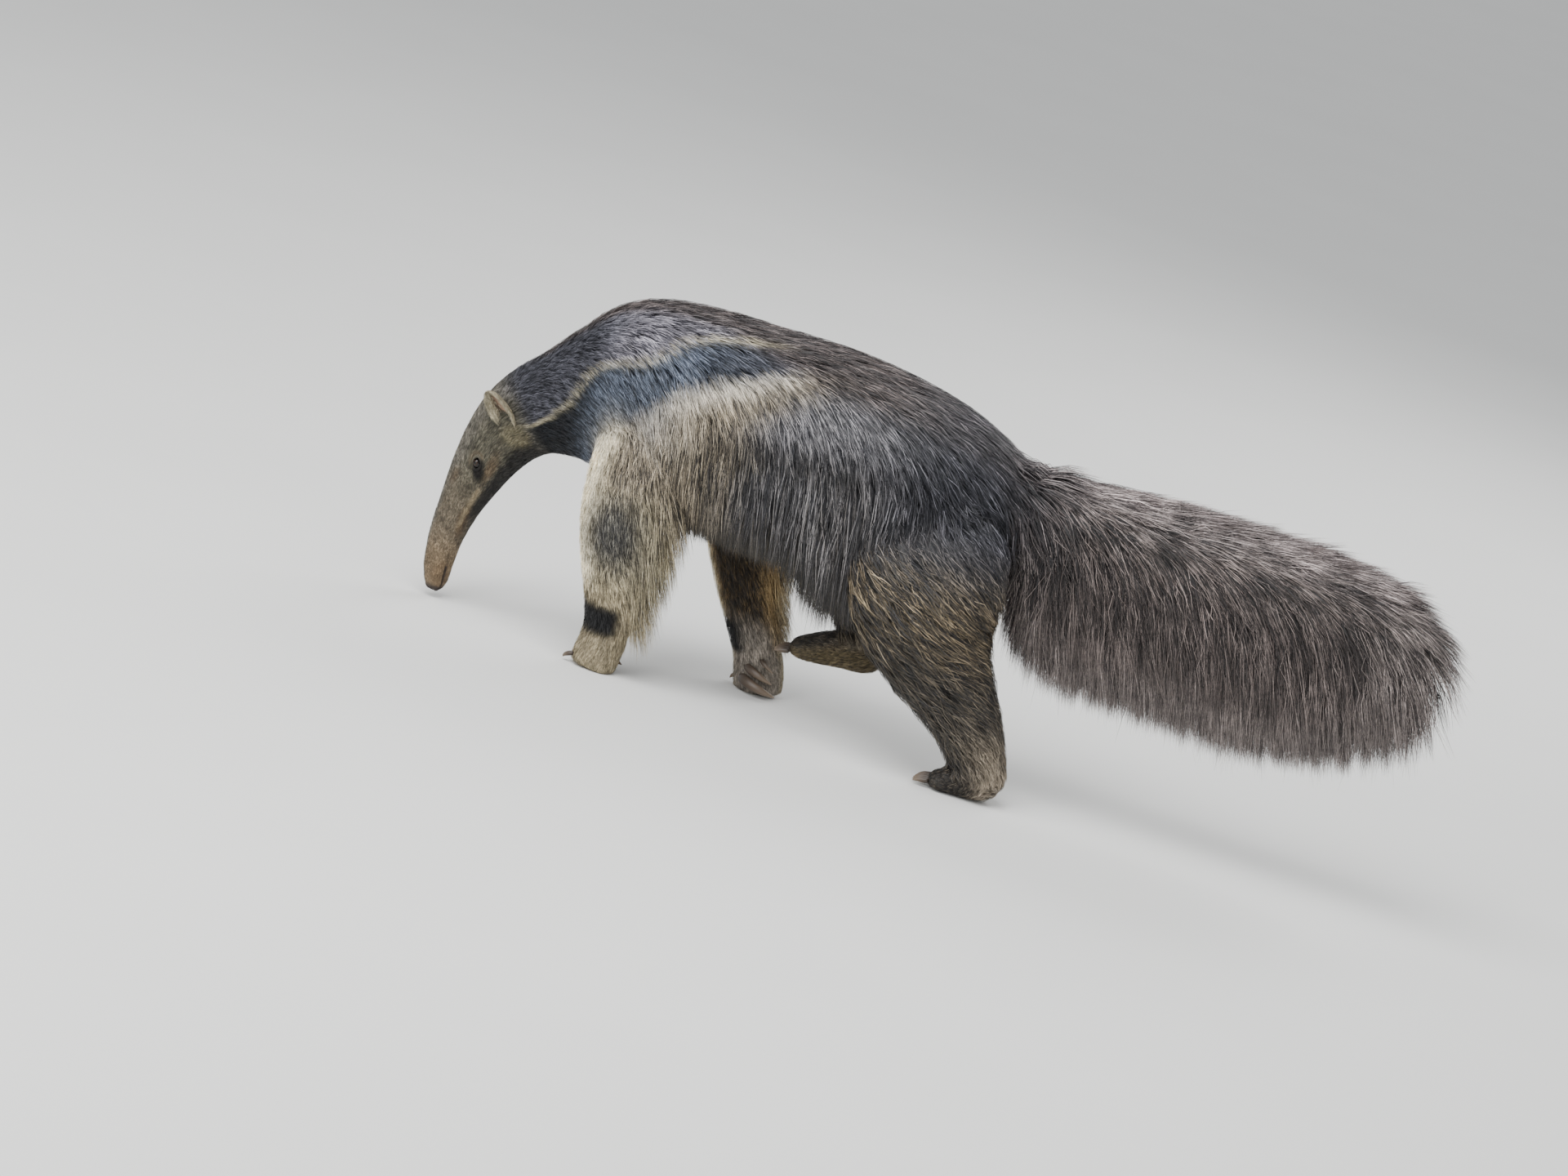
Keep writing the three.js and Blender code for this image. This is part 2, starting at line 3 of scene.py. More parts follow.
import logging
import math
from dataclasses import dataclass, field
from enum import Enum
from typing import Callable

import bmesh
import bpy
import numpy as np
from mathutils import Matrix, Vector
from mathutils.bvhtree import BVHTree


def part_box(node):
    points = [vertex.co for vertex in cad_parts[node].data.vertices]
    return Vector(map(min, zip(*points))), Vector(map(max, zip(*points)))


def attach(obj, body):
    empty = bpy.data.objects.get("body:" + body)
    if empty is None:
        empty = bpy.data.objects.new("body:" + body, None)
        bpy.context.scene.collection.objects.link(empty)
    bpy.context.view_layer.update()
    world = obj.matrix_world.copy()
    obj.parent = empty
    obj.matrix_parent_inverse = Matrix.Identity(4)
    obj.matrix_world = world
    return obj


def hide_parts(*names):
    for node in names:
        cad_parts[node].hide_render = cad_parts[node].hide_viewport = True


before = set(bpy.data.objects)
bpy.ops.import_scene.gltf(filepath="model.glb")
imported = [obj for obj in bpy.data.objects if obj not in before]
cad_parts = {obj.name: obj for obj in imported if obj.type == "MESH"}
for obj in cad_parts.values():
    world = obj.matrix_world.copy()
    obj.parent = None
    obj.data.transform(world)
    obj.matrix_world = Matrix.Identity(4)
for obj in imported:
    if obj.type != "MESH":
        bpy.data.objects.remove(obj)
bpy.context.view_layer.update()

LOG = logging.getLogger("anteater")
MM = 0.001
DEGREE = math.pi / 180
SEED = 11
ROOT_BODY = "root"
SIDES = {"left": -1, "right": 1}

# Share of the rows of a swept form that makes each of its round ends.
CAP = 0.12
# Steps of a form's line when places are looked for on it.
LINE_STEPS = 120
SHARE_STEPS = 200
# Length of a form's line on the combed coordinates, in mm.
LINE_LENGTH = 1500
# How high the lowest points of skin, and of hair and claws, lie over the floor, in mm.
SKIN_FLOOR = 0.4
HAIR_FLOOR = 0.3

# Places and sizes below are in mm, with x = 0 at mid flank, y = 0 in the middle plane and z = 0 on
# the floor. The left eye ties them to the frame.
EYE_AT = np.array([-527.0, -33.0, 240.0])
EYE_RADIUS = 8.5
# Half the height and half the length of the open eye.
LID_HALF = (8.6, 5.2)
# The line of the mouth, in degrees round the snout.
MOUTH_TURN = 135.0
SHIFT = (np.array(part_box("eye_left")[0]) + np.array(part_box("eye_left")[1])) / 2 / MM - EYE_AT

# Stations of the trunk: [x, z, half depth, half width], from the nose to the root of the tail.
TRUNK = [
    [-544, 8, 14, 13], [-546, 29, 21, 17], [-550, 62, 26, 20], [-549, 110, 30, 24],
    [-542, 160, 36, 29], [-531, 210, 45, 36], [-516, 262, 55, 45], [-494, 310, 66, 52],
    [-464, 346, 76, 57], [-425, 372, 90, 68],
    [-378, 396, 118, 86], [-305, 424, 155, 112], [-210, 437, 160, 130], [-110, 451, 148, 140],
    [0, 458, 142, 146], [110, 458, 130, 142], [205, 454, 112, 124], [275, 452, 86, 94],
    [322, 455, 66, 70],
]
# The same of the tail's core, of the outline of its plume, and of the hem of the flank hair.
TAIL_CORE = [
    [322, 452, 68, 70], [352, 442, 78, 58], [400, 428, 84, 48], [500, 420, 88, 42], [650, 420, 92, 42],
    [800, 426, 84, 38], [900, 436, 64, 29], [960, 448, 36, 17], [985, 450, 14, 9],
]
PLUME = [
    [322, 440, 100, 70], [350, 400, 140, 66], [390, 362, 166, 64], [470, 346, 178, 64], [600, 354, 186, 68],
    [760, 354, 190, 70], [900, 362, 172, 64], [1000, 366, 136, 54], [1068, 348, 88, 38], [1104, 322, 40, 20],
]
SKIRT = [
    [-250, 350, 60, 104], [-190, 330, 88, 120], [-90, 322, 90, 146], [0, 318, 92, 150], [40, 304, 120, 149],
    [80, 294, 134, 146], [130, 296, 128, 138],
    [190, 320, 120, 110], [260, 350, 120, 90],
]
# Stations of the legs and feet: [x, y, z, half depth, half width].
LEGS = {
    "foreleg_left": [
        [-255, -62, 400, 78, 40], [-266, -84, 318, 77, 46], [-264, -94, 240, 70, 44],
        [-253, -97, 170, 58, 38], [-243, -97, 112, 46, 33], [-238, -96, 64, 38, 31],
    ],
    "foreleg_right": [
        [-150, 66, 400, 76, 40], [-118, 86, 310, 74, 45], [-98, 95, 240, 66, 43],
        [-72, 98, 170, 56, 38], [-46, 98, 112, 47, 34], [-26, 97, 66, 40, 32],
    ],
    "hindleg_left": [
        [205, -70, 430, 118, 44], [215, -96, 345, 130, 56], [232, -106, 270, 118, 56],
        [268, -110, 205, 88, 50], [322, -109, 148, 62, 42], [360, -107, 103, 50, 36],
        [388, -105, 60, 43, 35], [398, -104, 34, 38, 34],
    ],
    "hindleg_right": [
        [190, 66, 430, 112, 42], [165, 88, 350, 114, 52], [134, 92, 286, 94, 48],
        [114, 84, 234, 62, 40], [116, 73, 192, 44, 32], [136, 63, 158, 36, 29],
        [150, 60, 138, 32, 28],
    ],
}
FEET = {
    "forefoot_left": [
        [-238, -96, 63.7, 38, 31], [-241, -96, 40, 39, 33], [-244, -97, 14, 39, 34], [-245, -97, 0, 37, 33],
    ],
    "forefoot_right": [
        [-26, 97, 65.7, 40, 32], [-16, 97, 40, 42, 33], [-9, 97, 14, 42, 34], [-7, 97, 0, 39, 33],
    ],
    "hindfoot_left": [
        [436, -104, 24, 17, 20], [418, -104, 30, 30, 30], [380, -105, 26, 30, 34],
        [346, -107, 15, 20, 37], [320, -108, 9, 12, 33],
    ],
    "hindfoot_right": [
        [182, 58, 134, 22, 20], [154, 56, 130, 34, 28], [106, 54, 122, 31, 31],
        [58, 52, 108, 23, 33], [28, 51, 100, 14, 30],
    ],
}


def to_frame(points: np.ndarray) -> np.ndarray:
    """Turns places in mm into places in the frame, in metres."""
    return (points + SHIFT) * MM


def from_frame(points: np.ndarray) -> np.ndarray:
    """Turns places in the frame, in metres, into places in mm."""
    return points / MM - SHIFT


def unit(vectors: np.ndarray) -> np.ndarray:
    """Scales each row to length one."""
    return vectors / np.maximum(np.linalg.norm(vectors, axis=-1, keepdims=True), 1e-9)


def turn_of(angle: np.ndarray) -> np.ndarray:
    """Degrees round a section from its dorsal edge, the same on both sides."""
    return np.abs(angle) / DEGREE


def lay_flat(way: np.ndarray, normal: np.ndarray, share: float = 1.0) -> np.ndarray:
    """Ways of length one, less a share of what points out of the surface."""
    return unit(way - normal * (way * normal).sum(1, keepdims=True) * share)


def ease(value: np.ndarray, low: float, high: float) -> np.ndarray:
    """Rises smoothly from 0 at low to 1 at high."""
    share = np.clip((value - low) / (high - low), 0, 1)
    return share * share * (3 - 2 * share)


def bump_of(distance: np.ndarray, reach: float) -> np.ndarray:
    """A soft hill: 1 at distance 0, falling to 0 at about twice the reach."""
    return np.exp(-((distance / reach) ** 2))


def mix(a: np.ndarray, b: np.ndarray, share: np.ndarray) -> np.ndarray:
    """Goes from a to b by a share for each row."""
    share = np.asarray(share)[..., None] if np.ndim(share) < np.ndim(a) else share
    return a * (1 - share) + b * share


def paint(red: int, green: int, blue: int) -> np.ndarray:
    """A colour as seen on a screen, 0 to 255, as linear light."""
    seen = np.array([red, green, blue]) / 255
    return np.where(seen <= 0.04045, seen / 12.92, ((seen + 0.055) / 1.055) ** 2.4)


@dataclass(frozen=True)
class Sweep:
    """A form swept along a smooth line.

    Sections are rounded boxes: angle 0 is the dorsal edge, a quarter turn the +Y side.
    """

    stations: tuple
    square: float = 2.2
    keel: float = 0.0
    hem: float = 0.0
    upright: bool = False

    @staticmethod
    def flat(rows: list, **options: float) -> "Sweep":
        """Makes a sweep in the middle plane from rows [x, z, half depth, half width]."""
        return Sweep(tuple((x, 0, z, deep, wide) for x, z, deep, wide in rows), **options)

    def values(self, t: np.ndarray) -> np.ndarray:
        """The smooth stations of the line.

        Args:
            t: shares of the line, 0 to 1.

        Returns:
            Rows of x, y, z, half depth and half width, in mm.
        """
        knots = np.array(self.stations, float)
        padded = np.vstack([2 * knots[0] - knots[1], knots, 2 * knots[-1] - knots[-2]])
        place = np.clip(t, 0, 1) * (len(knots) - 1)
        index = np.minimum(place.astype(int), len(knots) - 2)
        w = (place - index)[:, None]
        a, b, c, d = (padded[index + k] for k in range(4))
        bend = (2 * a - 5 * b + 4 * c - d) * w**2 + (3 * b - a - 3 * c + d) * w**3
        return 0.5 * (2 * b + (c - a) * w + bend)

    def ways(self, t: np.ndarray) -> tuple[np.ndarray, np.ndarray, np.ndarray]:
        """The axes of the sections.

        Args:
            t: shares of the line, 0 to 1.

        Returns:
            The ways along the line, across the width and out of the dorsal edge.
        """
        step = 1e-4
        along = self.values(np.minimum(t + step, 1))[:, :3] - self.values(np.maximum(t - step, 0))[:, :3]
        along = np.tile([1.0, 0, 0], (len(t), 1)) if self.upright else unit(along)
        wide = unit(np.array([0.0, 1, 0]) - along * along[:, 1:2])
        return along, wide, np.cross(along, wide)

    def point(self, t: np.ndarray, angle: np.ndarray, grow: float = 0) -> np.ndarray:
        """Points of the form in mm.

        Args:
            t: shares of the line.
            angle: turns round the section, in radians.
            grow: mm added to the section.

        Returns:
            One row of x, y, z for each t.
        """
        _, wide, deep = self.ways(t)
        size = self.values(t)
        c, s = (np.sign(f) * np.abs(f) ** (2 / self.square) for f in (np.cos(angle), np.sin(angle)))
        narrow = np.where(c > 0, self.keel, self.hem) * c * c
        up = c * (size[:, 3] + grow)
        out = s * (size[:, 4] * (1 - narrow) + grow)
        return size[:, :3] + deep * up[:, None] + wide * out[:, None]

    def locate(self, places: np.ndarray) -> tuple[np.ndarray, np.ndarray, np.ndarray]:
        """Finds where places lie on the form.

        Args:
            places: rows of x, y, z in mm.

        Returns:
            The share of the line, the angle round it, and how far out: 1 is on the surface.
        """
        grid = np.linspace(0, 1, LINE_STEPS)
        line = self.values(grid)[:, :3]
        if self.upright:
            t = np.interp(places[:, 0], line[:, 0], grid)
        else:
            squares = (places**2).sum(1)[:, None] - 2 * places @ line.T + (line**2).sum(1)
            t = grid[squares.argmin(1)]
            along, _, _ = self.ways(t)
            pace = np.linalg.norm(np.gradient(line, grid, axis=0), axis=1)
            miss = ((places - self.values(t)[:, :3]) * along).sum(1)
            t = np.clip(t + miss / np.interp(t, grid, pace), 0, 1)
        size = self.values(t)
        along, wide, deep = self.ways(t)
        away = places - size[:, :3]
        up = (away * deep).sum(1) / size[:, 3]
        out = (away * wide).sum(1) / size[:, 4]
        past = np.abs((away * along).sum(1)) / np.minimum(size[:, 3], size[:, 4])
        c, s = (np.sign(f) * np.abs(f) ** (self.square / 2) for f in (up, out))
        far = (np.abs(up) ** self.square + np.abs(out) ** self.square) ** (1 / self.square)
        return t, np.arctan2(s, c), np.hypot(far, past)

    def solid(self, depth: Callable, sides: int, rows: int, ends: tuple) -> bpy.types.Mesh:
        """A closed mesh of the form with round ends, from a warped sphere.

        Args:
            depth: mm that the surface lies inside the form at share t.
            sides: points round a section.
            rows: sections from end to end.
            ends: lengths of the round ends, in stations.

        Returns:
            A mesh in the frame.
        """
        mesh = ball_mesh("form", sides, rows)
        ball = read_points(mesh)
        spans = len(self.stations) - 1
        share = np.arccos(np.clip(-ball[:, 2], -1, 1)) / math.pi
        head, rear = ends[0] / spans, ends[1] / spans
        first = head * (1 - np.cos(np.minimum(share / CAP, 1) * math.pi / 2))
        last = rear * (1 - np.cos(np.minimum((1 - share) / CAP, 1) * math.pi / 2))
        t = first + np.clip((share - CAP) / (1 - 2 * CAP), 0, 1) * (1 - head - rear) + rear - last
        edge = np.minimum(share, 1 - share) / CAP
        reach = np.sin(np.minimum(edge, 1) * math.pi / 2)[:, None]
        angle = np.arctan2(ball[:, 0], ball[:, 1])
        line = self.values(t)[:, :3]
        out = self.point(t, angle, grow=-depth(t))
        write_points(mesh, to_frame(line + (out - line) * reach))
        return mesh


def read_points(mesh: bpy.types.Mesh) -> np.ndarray:
    """Reads the vertices of a mesh.

    Args:
        mesh: the mesh.

    Returns:
        One row of x, y, z for each vertex.
    """
    flat = np.empty(len(mesh.vertices) * 3)
    mesh.vertices.foreach_get("co", flat)
    return flat.reshape(-1, 3)


def write_points(mesh: bpy.types.Mesh, places: np.ndarray) -> None:
    """Moves the vertices of a mesh to the given rows."""
    mesh.vertices.foreach_set("co", places.ravel())
    mesh.update()


def read_normals(mesh: bpy.types.Mesh) -> np.ndarray:
    """The normals of a mesh's vertices as rows of x, y, z."""
    return np.array([v.normal for v in mesh.vertices])


def add_attribute(mesh: bpy.types.Mesh, name: str, kind: str, values: np.ndarray) -> None:
    """Stores a value at each vertex of a mesh.

    Args:
        mesh: the mesh.
        name: the attribute's name.
        kind: FLOAT, FLOAT_VECTOR or FLOAT_COLOR.
        values: one row for each vertex.
    """
    layer = mesh.attributes.new(name, kind, "POINT")
    key = {"FLOAT_COLOR": "color", "FLOAT_VECTOR": "vector", "FLOAT": "value"}[kind]
    layer.data.foreach_set(key, np.ascontiguousarray(values, dtype=np.float32).ravel())


def add_tint(mesh: bpy.types.Mesh, colours: np.ndarray) -> None:
    """Stores a colour at each vertex, where the finishes look for it."""
    add_attribute(mesh, "tint", "FLOAT_COLOR", np.c_[colours, np.ones(len(colours))])


def add_combed(mesh: bpy.types.Mesh, along: np.ndarray, angle: np.ndarray, girth: float) -> None:
    """Stores coordinates that run with the hair or grain.

    Args:
        mesh: the mesh.
        along: mm along the form, for each vertex.
        angle: turns round it, in radians.
        girth: mm from its line to its surface, one number or one for each vertex.
    """
    combed = np.c_[along, np.cos(angle) * girth, np.sin(angle) * girth]
    add_attribute(mesh, "combed", "FLOAT_VECTOR", combed * MM)


def ball_mesh(name: str, sides: int, rows: int) -> bpy.types.Mesh:
    """Makes a ball of radius 1 whose faces come in the same order on every run.

    Args:
        name: the mesh's name.
        sides: points round it.
        rows: sections from pole to pole.

    Returns:
        The mesh.
    """
    ball = bmesh.new()
    bmesh.ops.create_uvsphere(ball, u_segments=sides, v_segments=rows, radius=1)
    ball.verts.index_update()
    count = len(ball.verts)
    ball.faces.sort(key=lambda face: face.verts[0].index * count + face.verts[1].index)
    return to_mesh(ball, name)


def to_mesh(work: bmesh.types.BMesh, name: str) -> bpy.types.Mesh:
    """Ends the work on a bmesh.

    Args:
        work: the bmesh, which is freed.
        name: the name of the mesh that it becomes.

    Returns:
        The mesh.
    """
    mesh = bpy.data.meshes.new(name)
    work.to_mesh(mesh)
    work.free()
    return mesh


def add_object(name: str, data: bpy.types.ID) -> bpy.types.Object:
    """Puts a mesh, lamp or camera into the scene.

    Args:
        name: the object's name.
        data: what it shows.

    Returns:
        The object.
    """
    made = bpy.data.objects.new(name, data)
    bpy.context.scene.collection.objects.link(made)
    return made


def dress_mesh(mesh: bpy.types.Mesh, finish: bpy.types.Material) -> None:
    """Gives a mesh its material and smooth shading."""
    mesh.materials.append(finish)
    mesh.shade_smooth()


FORMS = {
    "trunk": Sweep.flat(TRUNK, keel=0.18),
    "tail": Sweep.flat(TAIL_CORE, hem=0.45, upright=True),
    **{name: Sweep(tuple(map(tuple, rows))) for name, rows in {**LEGS, **FEET}.items()},
}
PART_NAMES = list(FORMS)
PLUME_FORM = Sweep.flat(PLUME, hem=0.35, keel=0.3, upright=True)
SKIRT_FORM = Sweep.flat(SKIRT, upright=True)


@dataclass(frozen=True)
class FurTable:
    """How the fur changes along a form: rows of share, length, coat depth, downward share, width."""

    rows: tuple

    def at(self, t: np.ndarray, column: int) -> np.ndarray:
        """One column of the table at shares t."""
        table = np.array(self.rows, float)
        return np.interp(t, table[:, 0], table[:, column])

    def length(self, t: np.ndarray) -> np.ndarray:
        """Length of the hair in mm."""
        return self.at(t, 1)

    def depth(self, t: np.ndarray) -> np.ndarray:
        """Depth of the coat over the skin in mm."""
        return self.at(t, 2)

    def fall(self, t: np.ndarray) -> np.ndarray:
        """How much the hair lies down the side instead of back."""
        return self.at(t, 3)

    def width(self, t: np.ndarray) -> np.ndarray:
        """Width of a tuft in mm."""
        return self.at(t, 4)


TRUNK_FUR = FurTable((
    (0.0, 3, 0.8, 0, 0.4), (0.1, 5, 1.2, 0, 0.42), (0.3, 8, 2.2, 0, 0.46), (0.42, 12, 4, 0.1, 0.55),
    (0.5, 18, 7, 0.3, 0.7), (0.58, 28, 11, 0.44, 0.8), (0.66, 42, 14, 0.54, 1.0), (0.76, 60, 16, 0.6, 1.1),
    (0.88, 74, 16, 0.52, 1.15), (1.0, 90, 16, 0.4, 1.2),
))
TAIL_FUR = FurTable(((0.0, 100, 10, 1, 1.15), (1.0, 100, 5, 1, 1.1)))
FORELEG_FUR = FurTable(((0.0, 34, 9, 1, 1.0), (0.5, 26, 7, 1, 0.9), (1.0, 14, 3, 1, 0.75)))
HINDLEG_FUR = FurTable((
    (0.0, 82, 15, 1, 1.3), (0.5, 70, 12, 1, 1.3), (0.8, 42, 6, 1, 1.05), (1.0, 22, 3, 1, 0.8),
))
FOOT_FUR = FurTable(((0.0, 16, 3, 1, 0.7), (1.0, 6, 1.2, 1, 0.5)))


@dataclass
class Spots:
    """Places on one form.

    Rows of x, y, z in mm, the ways out of the skin there, the shares of the form's line, and the
    angles round it in radians.
    """

    name: str
    p: np.ndarray
    normal: np.ndarray
    t: np.ndarray
    angle: np.ndarray

    @property
    def turn(self) -> np.ndarray:
        """Degrees round the form from its dorsal edge, the same on both sides."""
        return turn_of(self.angle)

    @property
    def rear(self) -> np.ndarray:
        """How far places face back, from -1 to 1."""
        return np.cos(self.angle)

    @property
    def outer(self) -> np.ndarray:
        """How far places on a leg face away from the body, from -1 to 1."""
        return np.sin(self.angle) * SIDES[self.name.rpartition("_")[2]]

    @property
    def behind(self) -> np.ndarray:
        """How far places lie behind the form's line along x, in mm."""
        return self.p[:, 0] - FORMS[self.name].values(self.t)[:, 0]


def fur_of(name: str) -> FurTable:
    """Finds the fur of a form.

    Args:
        name: the form.

    Returns:
        Its fur table.
    """
    tables = {"trunk": TRUNK_FUR, "tail": TAIL_FUR}
    kinds = {"foreleg": FORELEG_FUR, "hindleg": HINDLEG_FUR}
    return tables.get(name) or kinds.get(name.split("_")[0]) or FOOT_FUR


class Node:
    """A number socket. Arithmetic on it adds Math nodes."""

    def __init__(self, shading: "Shading", socket: bpy.types.NodeSocket) -> None:
        """Wraps a socket of a node tree."""
        self.shading = shading
        self.socket = socket

    def _math(self, operation: str, first: object, second: object) -> "Node":
        """Joins two values by one Math node."""
        node = self.shading.add("ShaderNodeMath", {"operation": operation}, {0: first, 1: second})
        return Node(self.shading, node.outputs[0])

    def __add__(self, other: object) -> "Node":
        """Sum."""
        return self._math("ADD", self, other)

    __radd__ = __add__

    def __mul__(self, other: object) -> "Node":
        """Product."""
        return self._math("MULTIPLY", self, other)

    __rmul__ = __mul__


class Shading:
    """A material's node tree, built by short calls."""

    def __init__(self, name: str) -> None:
        """Makes an empty material.

        Args:
            name: the material's name.
        """
        self.material = bpy.data.materials.new(name)
        self.material.use_nodes = True
        self.tree = self.material.node_tree
        self.tree.nodes.clear()

    def add(self, kind: str, settings: dict, inputs: dict) -> bpy.types.Node:
        """Adds a node.

        Args:
            kind: the node's type.
            settings: properties by name; "stops" sets the colours of a ramp.
            inputs: values or sockets, by input name or number.

        Returns:
            The new node.
        """
        node = self.tree.nodes.new(kind)
        for key, value in settings.items():
            if key == "stops":
                stops = node.color_ramp.elements
                while len(stops) < len(value):
                    stops.new(0.5)
                for stop, (place, colour) in zip(stops, value):
                    stop.position = place
                    stop.color = (*colour, 1)
            else:
                setattr(node, key, value)
        for key, value in inputs.items():
            source = value.socket if isinstance(value, Node) else value
            if isinstance(source, bpy.types.NodeSocket):
                self.tree.links.new(source, node.inputs[key])
            else:
                node.inputs[key].default_value = source
        return node

    def noise(
        self, scale: float, detail: float, stretch: tuple = (1, 1, 1), source: str = "Object",
    ) -> Node:
        """Noise on the object's own coordinates or on a named attribute.

        Args:
            scale: cells for each metre.
            detail: octaves.
            stretch: scale of each axis.
            source: Object, or the name of a vector attribute.

        Returns:
            The noise, 0 to 1.
        """
        if source == "Object":
            spot = self.add("ShaderNodeTexCoord", {}, {}).outputs["Object"]
        else:
            spot = self.attribute(source, "Vector")
        mapping = self.add("ShaderNodeMapping", {}, {"Vector": spot, "Scale": stretch})
        inputs = {"Vector": mapping.outputs[0], "Scale": scale, "Detail": detail}
        return Node(self, self.add("ShaderNodeTexNoise", {}, inputs).outputs[0])

    def attribute(self, name: str, output: str = "Color") -> bpy.types.NodeSocket:
        """One output of a named attribute."""
        return self.add("ShaderNodeAttribute", {"attribute_name": name}, {}).outputs[output]

    def ramp(self, stops: list, factor: object) -> bpy.types.NodeSocket:
        """The colour of a ramp at a factor."""
        return self.add("ShaderNodeValToRGB", {"stops": stops}, {0: factor}).outputs[0]

    def blend(self, first: object, second: object, share: object, way: str = "MIX") -> bpy.types.NodeSocket:
        """Mixes two colours.

        Args:
            first: the colour at share 0.
            second: the colour at share 1.
            share: a number or a socket.
            way: how they blend.

        Returns:
            The mixed colour.
        """
        settings = {"data_type": "RGBA", "blend_type": way}
        node = self.add("ShaderNodeMix", settings, {0: share, 6: first, 7: second})
        return node.outputs[2]

    def shade(self, factor: Node, colour: object, low: float, high: float) -> bpy.types.NodeSocket:
        """Darkens and lightens a colour.

        Args:
            factor: 0 to 1.
            colour: what is shaded.
            low: its level where the factor is 0.
            high: its level where the factor is 1.

        Returns:
            The shaded colour.
        """
        level = factor * (high - low) + low
        grey = self.add("ShaderNodeCombineColor", {}, {0: level, 1: level, 2: level}).outputs[0]
        return self.blend(colour, grey, 1.0, "MULTIPLY")

    def bump(self, height: Node, strength: float, distance: float) -> bpy.types.NodeSocket:
        """A bumped normal."""
        inputs = {"Height": height, "Strength": strength, "Distance": distance}
        return self.add("ShaderNodeBump", {}, inputs).outputs[0]

    def finish(self, inputs: dict) -> bpy.types.Material:
        """Ends the tree with a surface shader.

        Args:
            inputs: values or sockets, by input name.

        Returns:
            The finished material.
        """
        surface = self.add("ShaderNodeBsdfPrincipled", {}, inputs)
        output = self.add("ShaderNodeOutputMaterial", {}, {})
        self.tree.links.new(surface.outputs[0], output.inputs[0])
        return self.material


@dataclass(frozen=True)
class HairFinish:
    """Coarse hair that takes its colour from the coat's markings.

    Patches are the scale, detail, darkest and lightest share of each grade of uneven colour.
    """

    name: str
    roughness: float = 0.4
    specular: float = 0.4
    patches: tuple = ((14, 3, 0.5, 1.5), (60, 4, 0.3, 1.7), (230, 3, 0.25, 1.75))

    def material(self) -> bpy.types.Material:
        """Builds the material.

        Returns:
            The material.
        """
        shading = Shading(self.name)
        colour = shading.attribute("tint")
        for scale, detail, low, high in self.patches:
            colour = shading.shade(shading.noise(scale, detail), colour, low, high)
        rough = shading.noise(90, 3) * 0.2 + self.roughness
        return shading.finish({
            "Base Color": colour, "Roughness": rough, "Specular IOR Level": self.specular,
        })


@dataclass(frozen=True)
class SkinFinish:
    """Skin under short combed fur, with the same markings as the coat."""

    name: str = "combed_skin"
    along: float = 60.0
    across: float = 900.0
    ridge: float = 0.0015

    def material(self) -> bpy.types.Material:
        """Builds the material.

        Returns:
            The material.
        """
        shading = Shading(self.name)
        stretch = (self.along / self.across, 1, 1)
        strands = shading.noise(self.across, 4, stretch, "combed")
        colour = shading.shade(strands, shading.attribute("tint"), 0.4, 1.5)
        colour = shading.shade(shading.noise(60, 4), colour, 0.3, 1.7)
        rough = strands * 0.25 + 0.5
        height = strands * 0.7 + shading.noise(260, 3) * 0.3
        return shading.finish({
            "Base Color": colour, "Roughness": rough, "Normal": shading.bump(height, 0.7, self.ridge),
            "Specular IOR Level": 0.3,
        })


@dataclass(frozen=True)
class EyeFinish:
    """A wet dark eye with a brown iris."""

    name: str = "wet_eye"
    pupil: float = 0.35

    def material(self) -> bpy.types.Material:
        """Builds the material.

        Returns:
            The material.
        """
        shading = Shading(self.name)
        stops = [
            (0.0, paint(5, 4, 4)), (self.pupil, paint(7, 5, 4)), (self.pupil + 0.1, paint(44, 28, 16)),
            (0.85, paint(26, 17, 12)), (1.0, paint(14, 11, 10)),
        ]
        iris = shading.ramp(stops, shading.attribute("ring", "Fac"))
        return shading.finish({
            "Base Color": shading.shade(shading.noise(900, 4), iris, 0.6, 1.4),
            "Roughness": 0.2, "Specular IOR Level": 0.2, "Coat Weight": 0.35, "Coat Roughness": 0.03,
            "Normal": shading.bump(shading.noise(500, 2), 0.05, 0.0003),
        })


@dataclass(frozen=True)
class HornFinish:
    """Worn claw horn, dark at its root and paler towards its tip."""

    name: str = "claw_horn"

    def material(self) -> bpy.types.Material:
        """Builds the material.

        Returns:
            The material.
        """
        shading = Shading(self.name)
        grain = shading.noise(700, 4, (0.15, 1, 1), "combed")
        stops = [(0.0, paint(38, 32, 28)), (0.45, paint(74, 62, 52)), (1.0, paint(128, 112, 94))]
        share = Node(shading, shading.attribute("ring", "Fac"))
        return shading.finish({
            "Base Color": shading.ramp(stops, share * 0.8 + grain * 0.25),
            "Roughness": grain * 0.3 + 0.28, "Normal": shading.bump(grain, 0.4, 0.0006),
        })


@dataclass(frozen=True)
class FloorFinish:
    """A plain pale studio floor."""

    name: str = "pale_floor"

    def material(self) -> bpy.types.Material:
        """Builds the material.

        Returns:
            The material.
        """
        shading = Shading(self.name)
        colour = shading.shade(shading.noise(2, 4), (0.74, 0.74, 0.72, 1), 0.97, 1.03)
        return shading.finish({"Base Color": colour, "Roughness": 0.9, "Specular IOR Level": 0.1})


